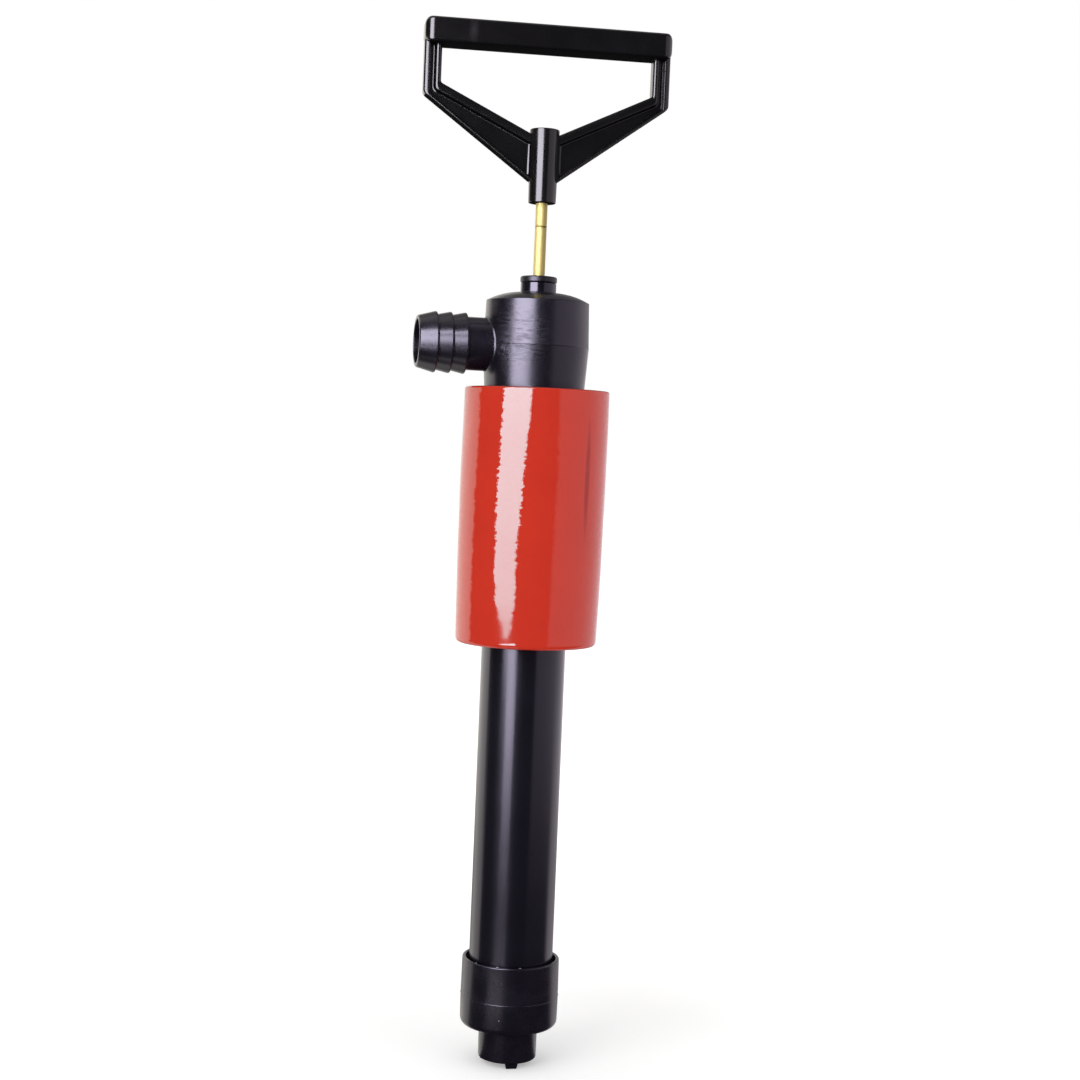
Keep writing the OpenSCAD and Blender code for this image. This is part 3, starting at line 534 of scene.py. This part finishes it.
# Turned PVC: the tool has taken off the skin of the bar, so it is duller than the barrel, with fine rings.
# The rings are about 0.1 mm apart. They are drawn 0.4 mm apart, so that they show.
turned_pvc, tree = blank("black_pvc_turned")
place = put(tree, "ShaderNodeTexCoord").outputs["Object"]
level = put(tree, "ShaderNodeMapping", {"Vector": place, "Scale": (0.02, 0.02, 1)}).outputs["Vector"]
cuts = put(tree, "ShaderNodeTexNoise", {"Vector": level, "Scale": per(0.4), "Detail": 2}).outputs["Fac"]
shade = put(tree, "ShaderNodeMix", {
    "Factor": cuts, 6: linear("#0f0e12"), 7: linear("#17151b")}, data_type="RGBA")
ringed = put(tree, "ShaderNodeBump", {"Height": cuts, "Strength": 0.3, "Distance": 0.00002})
skin = put(tree, "ShaderNodeBsdfPrincipled", {
    "Base Color": shade.outputs[2], "Roughness": 0.35, "IOR": 1.45, "Specular Tint": VIOLET_CAST,
    "Normal": ringed.outputs["Normal"]})
put(tree, "ShaderNodeOutputMaterial", {"Surface": skin.outputs["BSDF"]})

nut_low, nut_top = heights("gland_nut")
nut_r, shank_r, nut_z = 8.65, 5.5, 372.8
nut = turned(eased([
    (guide_r, nut_low, 0.15), (shank_r, nut_low, 0.3), (shank_r, nut_z, 0), (nut_r, nut_z, 0.3),
    (nut_r, nut_top, 0.8), (guide_r, nut_top, 0.3)]))
keep(nut, "gland_plug", "barrel", turned_pvc, "gland_nut")

# Float: a sleeve of closed-cell foam, dipped in red vinyl and pushed up the tube over the skirt of the
# head cap. The foam is cut by hand, so its side swells and ripples a little, and one side is thicker.


def from_mark(tree, place, mark, reach):
    """Output with the distance from a mark, to which each axis adds by its own share."""
    shift = tuple(-c * k for c, k in zip(mark, reach))
    across = put(tree, "ShaderNodeMapping", {
        "Vector": place, "Location": shift, "Scale": reach}).outputs["Vector"]
    return put(tree, "ShaderNodeVectorMath", {0: across}, operation="LENGTH").outputs["Value"]


# Dipped vinyl: a bright orange red with a wet gloss. The skin follows the sawn foam, whose cut leaves it
# slightly uneven from row to row, so that the long edges of its highlight fray into short teeth.
# The rows are under 1 mm high. They are drawn 0.8 mm high, so that they show. The flat top is darkened with
# painted shade, and a darker streak down one side is a painted reflection.
red_vinyl, tree = blank("red_vinyl_dipped")
place = put(tree, "ShaderNodeTexCoord").outputs["Object"]
facing = put(tree, "ShaderNodeNewGeometry").outputs["Normal"]
round_sleeve = put(tree, "ShaderNodeTangent", direction_type="RADIAL", axis="Z").outputs["Tangent"]
cloud = put(tree, "ShaderNodeTexNoise", {"Vector": place, "Scale": per(22), "Detail": 3}).outputs["Fac"]
sawn = put(tree, "ShaderNodeMapping", {"Vector": place, "Scale": (1.6, 1.6, 8)}).outputs["Vector"]
rows = put(tree, "ShaderNodeTexNoise", {"Vector": sawn, "Scale": per(6), "Detail": 2}).outputs["Fac"]
swing = put(tree, "ShaderNodeMapRange", {
    "Value": rows, "From Min": 0.2, "From Max": 0.8, "To Min": -0.04, "To Max": 0.04}).outputs["Result"]
aside = put(tree, "ShaderNodeVectorMath", {
    0: round_sleeve, "Scale": swing}, operation="SCALE").outputs["Vector"]
leaning = put(tree, "ShaderNodeVectorMath", {0: facing, 1: aside}, operation="ADD").outputs["Vector"]
uneven = put(tree, "ShaderNodeVectorMath", {0: leaning}, operation="NORMALIZE").outputs["Vector"]
float_low, float_top = heights("float_sleeve")
shade = put(tree, "ShaderNodeMix", {
    "Factor": cloud, 6: linear("#d53825"), 7: linear("#cb3224")}, data_type="RGBA")
spot = put(tree, "ShaderNodeSeparateXYZ", {"Vector": place}).outputs
turn = put(tree, "ShaderNodeMath", {0: spot["Y"], 1: spot["X"]}, operation="ARCTAN2").outputs["Value"]
unrolled = put(tree, "ShaderNodeCombineXYZ", {"X": turn, "Z": spot["Z"]}).outputs["Vector"]
# Painted reflection: a darker red streak down one side of the sleeve, laid into the base colour.
painted_streak_at, painted_streak_reach = (math.radians(-53.4), 0, (float_top - 41.6) * MM), (0.02, 1, 0.035)
painted_streak = put(tree, "ShaderNodeMapRange", {
    "Value": from_mark(tree, unrolled, painted_streak_at, painted_streak_reach), "From Min": 0.0005, "From Max": 0.0011,
    "To Min": 1, "To Max": 0}).outputs["Result"]
shade = put(tree, "ShaderNodeMix", {
    "Factor": painted_streak, 6: shade.outputs[2], 7: linear("#ad1c12")}, data_type="RGBA")
# Painted shade: the colour darkens to a dark red over the last half mm up to the flat top.
painted_shade_from, painted_shade_to = (float_top - 0.5) * MM, (float_top - 0.05) * MM
painted_top_shade = put(tree, "ShaderNodeMapRange", {
    "Value": spot["Z"], "From Min": painted_shade_from, "From Max": painted_shade_to, "To Min": 0, "To Max": 0.85})
with_painted_top_shade = put(tree, "ShaderNodeMix", {
    "Factor": painted_top_shade.outputs["Result"], 6: shade.outputs[2], 7: linear("#3a1512")}, data_type="RGBA")
rough = put(tree, "ShaderNodeMapRange", {
    "Value": cloud, "From Min": 0.3, "From Max": 0.7, "To Min": 0.04, "To Max": 0.07})
skin = put(tree, "ShaderNodeBsdfPrincipled", {
    "Base Color": with_painted_top_shade.outputs[2], "Roughness": rough.outputs["Result"], "IOR": 1.53,
    "Specular Tint": (0.43, 1, 0.98, 1), "Normal": uneven})
put(tree, "ShaderNodeOutputMaterial", {"Surface": skin.outputs["BSDF"]})

float_r, float_crown, low_round, top_round, float_bore_r, recess_r = 34.2, 0.55, 2.1, 1, 20.15, 24.1
FLOAT_RINGS, FLOAT_STEPS, RIM_STEPS = 90, 256, 8
end_r = float_r - float_crown


def rim(centre_z, size, start):
    """Quarter round at an end of the float."""
    for k in range(RIM_STEPS + 1):
        a = start + math.pi / 2 * k / RIM_STEPS
        yield end_r - size + size * math.cos(a), centre_z + size * math.sin(a)


lean_side, lean_low, lean_more, swell_low, swell_more = math.radians(-11.6), 0.7, 0.8, 0.06, 0.65
coarse, coarse_size, fine, fine_size = 0.16, 26, 0.035, 7


def ripple(r, angle, z):
    """How the hand-cut foam differs from a true round at a point of its outside: thicker to one side,
    stretched wider at the top, and uneven."""
    if r < end_r - low_round:
        return 0
    up = (z - float_low) / (float_top - float_low)
    stretch = (lean_low + lean_more * up) * math.cos(angle - lean_side) + swell_low + swell_more * up
    at = Vector((math.cos(angle), math.sin(angle), 0)) * r + Vector((0, 0, z))
    return stretch + coarse * noise.noise(at / coarse_size) + fine * noise.noise(at / fine_size) - coarse


side_low, side_top = float_low + low_round, float_top - top_round
side = [
    (float_r - float_crown * (2 * k / FLOAT_RINGS - 1) ** 2,
     side_low + (side_top - side_low) * k / FLOAT_RINGS)
    for k in range(1, FLOAT_RINGS)]
recess_ease, recess_z = 0.8, cap_low - 0.1
sleeve = turned(
    [(float_bore_r, float_low), *rim(side_low, low_round, -math.pi / 2), *side, *rim(side_top, top_round, 0),
     (recess_r + recess_ease, float_top), (recess_r, float_top - recess_ease), (recess_r, recess_z),
     (float_bore_r, recess_z)], steps=FLOAT_STEPS, shift=ripple)
sleeve = keep(sleeve, "foam_float", "barrel", red_vinyl, "float_sleeve")

# Handle frame: one black polypropylene moulding, a hub with two arms. Each arm is an H in section, a web
# between round-edged flanges, which keeps the moulding stiff. The rod is pressed into the hub from below.

# Polypropylene: a soft, slightly waxy black. Hands have rubbed it, so its gloss is patchy, and a scuff
# crosses the grip a fifth of the way along.
black_pp, tree = blank("black_polypropylene_moulded")
place = put(tree, "ShaderNodeTexCoord").outputs["Object"]
rubbed = put(tree, "ShaderNodeTexNoise", {"Vector": place, "Scale": per(14), "Detail": 4}).outputs["Fac"]
sink = put(tree, "ShaderNodeTexNoise", {"Vector": place, "Scale": per(6), "Detail": 0}).outputs["Fac"]
scuff_at, scuff_reach = (-0.0365, -0.0066, 0.4868), (1, 0.25, 0.4)
near_scuff = put(tree, "ShaderNodeMapRange", {
    "Value": from_mark(tree, place, scuff_at, scuff_reach), "From Min": 0.0002, "From Max": 0.0028,
    "To Min": 0.26, "To Max": 0}).outputs["Result"]
scuff = put(tree, "ShaderNodeMath", {0: near_scuff, 1: rubbed}, operation="MULTIPLY").outputs["Value"]
shade = put(tree, "ShaderNodeMix", {
    "Factor": rubbed, 6: linear("#0a0a0c"), 7: linear("#111013")}, data_type="RGBA")
marked = put(tree, "ShaderNodeMix", {
    "Factor": scuff, 6: shade.outputs[2], 7: linear("#6a6970")}, data_type="RGBA")
rough = put(tree, "ShaderNodeMapRange", {
    "Value": rubbed, "From Min": 0.3, "From Max": 0.7, "To Min": 0.15, "To Max": 0.2})
peel = put(tree, "ShaderNodeBump", {"Height": sink, "Strength": 0.2, "Distance": 0.00002})
skin = put(tree, "ShaderNodeBsdfPrincipled", {
    "Base Color": marked.outputs[2], "Roughness": rough.outputs["Result"], "IOR": 1.5,
    "Specular Tint": (0.96, 0.92, 0.96, 1), "Normal": peel.outputs["Normal"]})
put(tree, "ShaderNodeOutputMaterial", {"Surface": skin.outputs["BSDF"]})

handle_turn = Matrix.Rotation(math.radians(-2.8), 4, "Z")
hub_low = heights("handle_frame")[0]
grip_z, grip_top = heights("handle_grip")
hub_len, arm_low, arm_high, elbow_out, elbow_in, tenon = 34.4, 5.1, 28.6, 47.4, 52.6, 2.2
hub_top = hub_low + hub_len
arm_in, arm_out, arm_half, web_half = 50, 58.2, 4, 1.5
outline = [
    (0, hub_low + arm_low), (arm_out, hub_low + elbow_out), (arm_out, grip_z + tenon),
    (arm_in, grip_z + tenon), (arm_in, hub_low + elbow_in), (0, hub_low + arm_high)]
FLANGES = (1.7, 3, 0, 3, 4.4, 6.9)
OUTER_ROUND, INNER_ROUND = (0.85, 2.3, 0, 1.5, 1.6, 0), (0.8, 0.5, 0, 1.4, 1.2, 0)
WEB_FILLET = (0.5, 0.4, 0, 0.9, 0.9, 1.8)
ARC_STEPS = 6


def moved_in(corners, widths):
    """Outline whose sides lie inside the given anticlockwise one, each by its own width."""
    points = [Vector(c) for c in corners]
    count = len(points)
    runs = [(points[(i + 1) % count] - points[i]).normalized() for i in range(count)]
    starts = [p + Vector((-d.y, d.x)) * w for p, d, w in zip(points, runs, widths)]
    found = []
    for i in range(count):
        p, u, q, v = starts[i - 1], runs[i - 1], starts[i], runs[i]
        found.append(p + u * ((q - p).cross(v) / u.cross(v)))
    return found


# From the outside of an arm inwards: its outer edge, the edge into the channel and the fillet at the web.
# Each layer gives the width taken off every side of the outline, and the depth there.
outer_drop, inner_drop, fillet_rise = 1.5, 1.3, 0.9
bends = [math.pi / 2 * k / ARC_STEPS for k in range(ARC_STEPS + 1)]
arc = [(1 - math.cos(t), 1 - math.sin(t)) for t in bends]
layers = [([r * c for r in OUTER_ROUND], arm_half - outer_drop * d) for c, d in arc]
layers += [([w - r * d for w, r in zip(FLANGES, INNER_ROUND)], arm_half - inner_drop * c) for c, d in arc]
layers += [([w + f * c for w, f in zip(FLANGES, WEB_FILLET)], web_half + fillet_rise * d) for c, d in arc]

limbs = bmesh.new()
TOP_END, HUB_END = 8, 17
elbow_out_r, elbow_in_r, out_share, in_share = 3, 1.5, 0.4, 0.5
for mirror in (1, -1):
    faces_of = {}
    for side in (-1, 1):
        stack = []
        for widths, depth in layers:
            radii = (0, elbow_out_r - out_share * widths[1], 0, 0, elbow_in_r + in_share * widths[3], 0)
            ring = eased([(*p, r) for p, r in zip(moved_in(outline, widths), radii)])
            stack.append([limbs.verts.new(Vector((mirror * x, side * depth, z)) * MM) for x, z in ring])
        for (a, b), (above, below) in zip(zip(stack, stack[1:]), zip(layers, layers[1:])):
            for k in range(len(a)):
                j = (k + 1) % len(a)
                if k != TOP_END and (k != HUB_END or below[0][5] > above[0][5]):
                    limbs.faces.new((a[k], a[j], b[j], b[k]))
        limbs.faces.new(stack[-1])
        faces_of[side] = stack
    front, back = faces_of[-1], faces_of[1]
    for k in range(HUB_END):
        if k != TOP_END:
            limbs.faces.new((front[0][k], front[0][k + 1], back[0][k + 1], back[0][k]))
    limbs.faces.new(
        [r[TOP_END] for r in front] + [r[TOP_END + 1] for r in reversed(front)]
        + [r[TOP_END + 1] for r in back] + [r[TOP_END] for r in reversed(back)])
bmesh.ops.remove_doubles(limbs, verts=limbs.verts, dist=1e-6)
bmesh.ops.recalc_face_normals(limbs, faces=limbs.faces)

hub_r, hub_top_r, seam_z = 6.5, 7.05, hub_low + 23.9
low_ease, low_nip, top_ease, top_nip, seam_half, seam_depth = 0.5, 0.15, 0.6, 0.18, 0.25, 0.07
hub_slope = (hub_top_r - hub_r) / (hub_top - hub_low)
seam_r = hub_r + hub_slope * (seam_z - hub_low)
hub = turned([
    (0, hub_low), (hub_r - low_ease, hub_low), (hub_r - low_nip, hub_low + low_nip),
    (hub_r, hub_low + low_ease),
    (seam_r, seam_z - seam_half), (seam_r - seam_depth, seam_z), (seam_r, seam_z + seam_half),
    (hub_top_r, hub_top - top_ease), (hub_top_r - top_nip, hub_top - top_nip),
    (hub_top_r - top_ease, hub_top), (0, hub_top)], steps=128)
hole_gap, hole_spare, hole_low = 0.03, 0.05, hub_low - 1
hole_r, hole_top = rod_r + hole_gap, rod_top + hole_spare
hole = turned([(0, hole_low), (hole_r, hole_low), (hole_r, hole_top), (0, hole_top)], steps=72)
handle = combined(combined(limbs, hub, "UNION"), hole, "DIFFERENCE")
bmesh.ops.transform(handle, matrix=handle_turn, verts=handle.verts)
handle = keep(handle, "handle_frame_moulding", "rod", black_pp, "handle_frame")

# Polypropylene off the eroded half of the mould: the undersides, a dead black without any gloss.
matt_pp, tree = blank("black_polypropylene_matt")
place = put(tree, "ShaderNodeTexCoord").outputs["Object"]
rubbed = put(tree, "ShaderNodeTexNoise", {"Vector": place, "Scale": per(9), "Detail": 4}).outputs["Fac"]
shade = put(tree, "ShaderNodeMix", {
    "Factor": rubbed, 6: linear("#0b0a0c"), 7: linear("#121113")}, data_type="RGBA")
skin = put(tree, "ShaderNodeBsdfPrincipled", {
    "Base Color": shade.outputs[2], "Roughness": 0.7, "IOR": 1.02})
put(tree, "ShaderNodeOutputMaterial", {"Surface": skin.outputs["BSDF"]})

LOOKS_DOWN = -0.7


def matt_below(piece):
    """Gives the faces of a handle piece that look down the matt finish."""
    piece.data.materials.append(matt_pp)
    for face in piece.data.polygons:
        if face.normal.z < LOOKS_DOWN:
            face.material_index = 1


matt_below(handle)

# Grip: a bar of the same polypropylene across the arms, moulded with softened edges and rounded ends.
# The arms' tenons are glued into its underside.
grip_half_x, grip_half_y, grip_round, plan_round, end_round, least_flat = 58.4, 8.25, 1.6, 4.5, 3, 0.3
grip_mid, grip_half_z = (grip_z + grip_top) / 2, (grip_top - grip_z) / 2


def grip_section(y_inset, z_inset):
    """Rounded outline of the bar across its length, drawn in by the two insets."""
    y, z = grip_half_y - y_inset, grip_half_z - z_inset
    radius = min(grip_round, y - least_flat, z - least_flat)
    return eased([(-y, -z, radius), (y, -z, radius), (y, z, radius), (-y, z, radius)], steps=8)


END_STEPS = 10
stations = []
for k in range(END_STEPS + 1):
    a = math.pi / 2 * (1 - k / END_STEPS)
    run = plan_round * (1 - math.sin(a))
    z_inset = end_round - math.sqrt(end_round ** 2 - max(end_round - run, 0) ** 2)
    stations.append((-grip_half_x + run, plan_round * (1 - math.cos(a)), z_inset))
stations += [(-x, y_inset, z_inset) for x, y_inset, z_inset in reversed(stations)]
bar = bmesh.new()
slices = []
for x, y_inset, z_inset in stations:
    section = grip_section(y_inset, z_inset)
    slices.append([bar.verts.new(Vector((x, y, grip_mid + z)) * MM) for y, z in section])
for a, b in zip(slices, slices[1:]):
    band(bar, a, b)
bar.faces.new(slices[0])
bar.faces.new(slices[-1])
bmesh.ops.recalc_face_normals(bar, faces=bar.faces)
bmesh.ops.transform(bar, matrix=handle_turn, verts=bar.verts)
matt_below(keep(bar, "grip_bar", "rod", black_pp, "handle_grip"))

# Set: a white floor that runs out to a white background, as for a catalogue picture.
# The floor is lit to a plain white, and lifted a little where it is seen, so that only the shadow tells.
FLOOR_R, FLOOR_SIDES, ROOM_LIGHT = 8, 64, 0.58


def seen_rays(tree):
    """Output that is 1 for rays from the camera, off a gloss or through something clear."""
    path = put(tree, "ShaderNodeLightPath").outputs
    total = path["Is Camera Ray"]
    for other in ("Is Glossy Ray", "Is Transmission Ray"):
        total = put(tree, "ShaderNodeMath", {0: total, 1: path[other]}, operation="ADD").outputs["Value"]
    return total


paper, tree = blank("white_paper_floor")
place = put(tree, "ShaderNodeTexCoord").outputs["Object"]
away = put(tree, "ShaderNodeVectorMath", {0: place}, operation="LENGTH").outputs["Value"]
lifted = put(tree, "ShaderNodeMapRange", {
    "Value": away, "From Min": 0.12, "From Max": 0.5, "To Min": 0.32, "To Max": 0.66}).outputs["Result"]
glow = put(tree, "ShaderNodeMath", {0: seen_rays(tree), 1: lifted}, operation="MULTIPLY")
matt = put(tree, "ShaderNodeBsdfDiffuse", {"Color": linear("#f3f3f2")})
lift = put(tree, "ShaderNodeEmission", {"Color": linear("#ffffff"), "Strength": glow.outputs["Value"]})
both = put(tree, "ShaderNodeAddShader", {0: matt.outputs["BSDF"], 1: lift.outputs["Emission"]})
put(tree, "ShaderNodeOutputMaterial", {"Surface": both.outputs["Shader"]})


def scenery(bm, name, finish):
    """Makes an object of the set of a mesh."""
    mesh = bpy.data.meshes.new(name)
    bm.to_mesh(mesh)
    bm.free()
    mesh.materials.append(finish)
    made = bpy.data.objects.new(name, mesh)
    bpy.context.scene.collection.objects.link(made)
    return made


ground = bmesh.new()
bmesh.ops.create_circle(ground, cap_ends=True, radius=FLOOR_R, segments=FLOOR_SIDES)
scenery(ground, "floor", paper)

world = bpy.data.worlds.new("studio")
bpy.context.scene.world = world
world.use_nodes = True
tree = world.node_tree
tree.nodes.clear()
ambient = put(tree, "ShaderNodeBackground", {"Color": linear("#ffffff"), "Strength": ROOM_LIGHT})
backdrop = put(tree, "ShaderNodeBackground", {"Color": linear("#ffffff"), "Strength": 1})
sky = put(tree, "ShaderNodeMixShader", {
    0: seen_rays(tree), 1: ambient.outputs["Background"], 2: backdrop.outputs["Background"]})
put(tree, "ShaderNodeOutputWorld", {"Surface": sky.outputs["Shader"]})

# Camera: where the picture was taken from, a little to the left of the pump's front and a little above
# half its height. It looks slightly down and is tilted, so that the pump leans to the right.
yaw, pitch, roll = math.radians(11.6), math.radians(2.8), math.radians(2.388)
lens = bpy.data.cameras.new("camera")
lens.sensor_width, lens.lens = 36, 62.65
camera = bpy.data.objects.new("camera", lens)
bpy.context.scene.collection.objects.link(camera)
eye = Vector((5.73, -891.7, 295)) * MM
camera.matrix_world = (
    Matrix.Rotation(-yaw, 4, "Z") @ Matrix.Translation(eye)
    @ Matrix.Rotation(math.pi / 2 - pitch, 4, "X") @ Matrix.Rotation(roll, 4, "Z"))
bpy.context.scene.camera = camera

# Studio: what the gloss of the pump reflects. A dim room behind the camera and overhead, a grey wall on
# the right, and white paper that runs up behind the pump to both sides. These screens show only in
# reflections, and light nothing. Their tones are given by the angle to the right of the camera, in degrees.
NEAR_FLOOR = (
    (-180, 0.3), (-150, 0.5), (-135, 1.2), (-97, 1.2), (-94, 0.05), (100, 0.05), (116, 1),
    (150, 0.5), (180, 0.3))
LIT_FLOOR = (
    (-180, 0.3), (-150, 0.5), (-135, 1.2), (-97, 1.2), (-94, 0.05), (-51, 0.05), (-45, 1.4), (-17, 1.4),
    (-10, 0.05), (100, 0.05), (116, 1), (150, 0.5), (180, 0.3))
LOW_WALL = ((-180, 1.1), (-158, 1.3), (-132, 1.65), (-118, 1.8), (-104, 1.75), (-101, 0.07), (36, 0.07),
            (39, 0.7), (60, 0.76), (97, 0.9), (112, 1), (130, 1.1), (158, 1.1), (180, 1.1))
WALL = ((-180, 0.9), (-160, 1.2), (-132, 1.65), (-118, 1.8), (-102, 1.75), (-98, 0.07), (36, 0.07),
        (39, 0.7), (60, 0.76), (97, 0.9), (112, 1), (130, 1), (160, 0.95), (180, 0.9))
HIGH_WALL = ((-180, 0.5), (-174, 1.2), (-160, 1.3), (-140, 1.6), (-132, 1.7), (-123, 0.07), (36, 0.07),
             (39, 0.84), (60, 0.92), (97, 1.1), (112, 1.2), (130, 1), (155, 0.5), (172, 0.3), (180, 0.5))
ROOF = (
    (-180, 0.2), (-150, 0.4), (-130, 1.4), (-115, 2), (-105, 1.7), (-95, 0.3), (-60, 0.06), (60, 0.06),
    (95, 0.3), (110, 0.5), (150, 0.25), (180, 0.2))
MID_ROOF = ((-180, 0.4), (-110, 1.1), (-60, 0.45), (0, 0.35), (60, 0.45), (110, 0.7), (180, 0.4))
ZENITH = ((-180, 1.1), (180, 1.1))
FLAT = 0.0004
ROOM = (
    (0.012, FLAT, NEAR_FLOOR), (0.09, FLAT, NEAR_FLOOR), (0.12, FLAT, LIT_FLOOR), (0.17, FLAT, LIT_FLOOR),
    (0.22, FLAT, NEAR_FLOOR), (0.4, FLAT, NEAR_FLOOR), (1.1, FLAT, LOW_WALL), (1.5, FLAT, LOW_WALL),
    (1.5, 0.22, LOW_WALL), (1.5, 0.32, WALL), (1.5, 0.42, WALL), (1.5, 0.47, HIGH_WALL),
    (1.5, 0.95, HIGH_WALL), (1.5, 1.3, ROOF), (0.7, 1.3, ROOF), (0.35, 1.3, MID_ROOF), (0.05, 1.3, ZENITH))
LEFT_TINT, RIGHT_TINT = (1, 0.97, 0.9), (1, 0.93, 0.98)
ROOM_SIDES = 180
screens, tree = blank("studio_screens")
tones = put(tree, "ShaderNodeAttribute", attribute_name="tone")
shine = put(tree, "ShaderNodeEmission", {"Color": tones.outputs["Color"], "Strength": 1})
put(tree, "ShaderNodeOutputMaterial", {"Surface": shine.outputs["Emission"]})


def tone_at(stops, angle):
    """Tone at an angle, between the stops before and after it."""
    for (before, low), (after, high) in zip(stops, stops[1:]):
        if angle <= after:
            return low + (high - low) * (angle - before) / (after - before)


def only_reflected(made):
    """Hides a screen from everything but reflections."""
    for sight in ("camera", "diffuse", "transmission", "volume_scatter", "shadow"):
        setattr(made, "visible_" + sight, False)


def stand_at(azimuth, distance, height):
    """Place on the set, at an angle in degrees to the right of the camera's side."""
    angle = math.radians(azimuth) - yaw
    return Vector((distance * math.sin(angle), -distance * math.cos(angle), height))


walls = bmesh.new()
tone = walls.verts.layers.float_color.new("tone")
rings = []
for radius, height, stops in ROOM:
    ring = []
    for k in range(ROOM_SIDES):
        angle = 360 * k / ROOM_SIDES - 180
        ring.append(walls.verts.new(stand_at(angle, radius, height)))
        level = tone_at(stops, angle)
        ring[-1][tone] = (*[level * c for c in (LEFT_TINT if angle < 0 else RIGHT_TINT)], 1)
    rings.append(ring)
for a, b in zip(rings, rings[1:]):
    band(walls, a, b)
only_reflected(scenery(walls, "studio_screens", screens))

# Softbox face: the tall white panel on the left that makes the highlight down every round piece. It leans,
# and its lower end comes to a point, with its spill on the set below. Each row gives a height in m, its left
# and right edge in degrees, and how bright it is.
BOX_ROWS = (
    (0.125, -30, -28, 8), (0.132, -36, -24, 9), (0.14, -42, -21.5, 10), (0.15, -47, -20, 10),
    (0.175, -52.5, -19, 11), (0.213, -55, -19, 11.5), (0.24, -56, -16.5, 12), (0.32, -53, -9.5, 13),
    (0.4, -51.5, -6.5, 14.5), (0.5, -51, -4.5, 15), (0.56, -51, -8, 15), (0.6, -51, -14, 15),
    (0.66, -51, -14, 15), (0.72, -51, -5, 15), (0.88, -51, -4, 15))
SPILL_ROWS = ((0.002, -41, -19, 0.1), (0.05, -41, -18, 2.2), (0.08, -41, -16, 15), (0.1, -40, -15, 22))
BOX_AWAY, BOX_COLUMNS, BOX_TINT = 0.6, 12, (1, 1, 1.08)
panel = bmesh.new()
tone = panel.verts.layers.float_color.new("tone")
for table in (BOX_ROWS, SPILL_ROWS):
    rows = []
    for z, left, right, level in table:
        row = []
        for k in range(BOX_COLUMNS + 1):
            row.append(panel.verts.new(stand_at(left + (right - left) * k / BOX_COLUMNS, BOX_AWAY, z)))
            row[-1][tone] = (*[level * c for c in BOX_TINT], 1)
        rows.append(row)
    for a, b in zip(rows, rows[1:]):
        band(panel, a, b, closed=False)
only_reflected(scenery(panel, "softbox_face", screens))

# Lamps: the softbox's own light from the left, a fill from the right and a broad light from above.
# They light the floor and the colour of every surface, and don't show in reflections.
AIM = Vector((0, 0, 0.27))
for name, azimuth, distance, height, size, power in (
        ("key_lamp", -38, 1.6, 0.9, 1.0, 9),
        ("fill_lamp", 55, 1.9, 0.7, 1.4, 5),
        ("top_lamp", -30, 0.5, 1.7, 1.2, 4)):
    lamp = bpy.data.lights.new(name, "AREA")
    lamp.size, lamp.energy = size, power
    holder = bpy.data.objects.new(name, lamp)
    bpy.context.scene.collection.objects.link(holder)
    holder.location = stand_at(azimuth, distance, height)
    holder.rotation_euler = (AIM - holder.location).to_track_quat("-Z", "Y").to_euler()
    holder.visible_glossy = False

bpy.context.scene.view_settings.view_transform = "Standard"
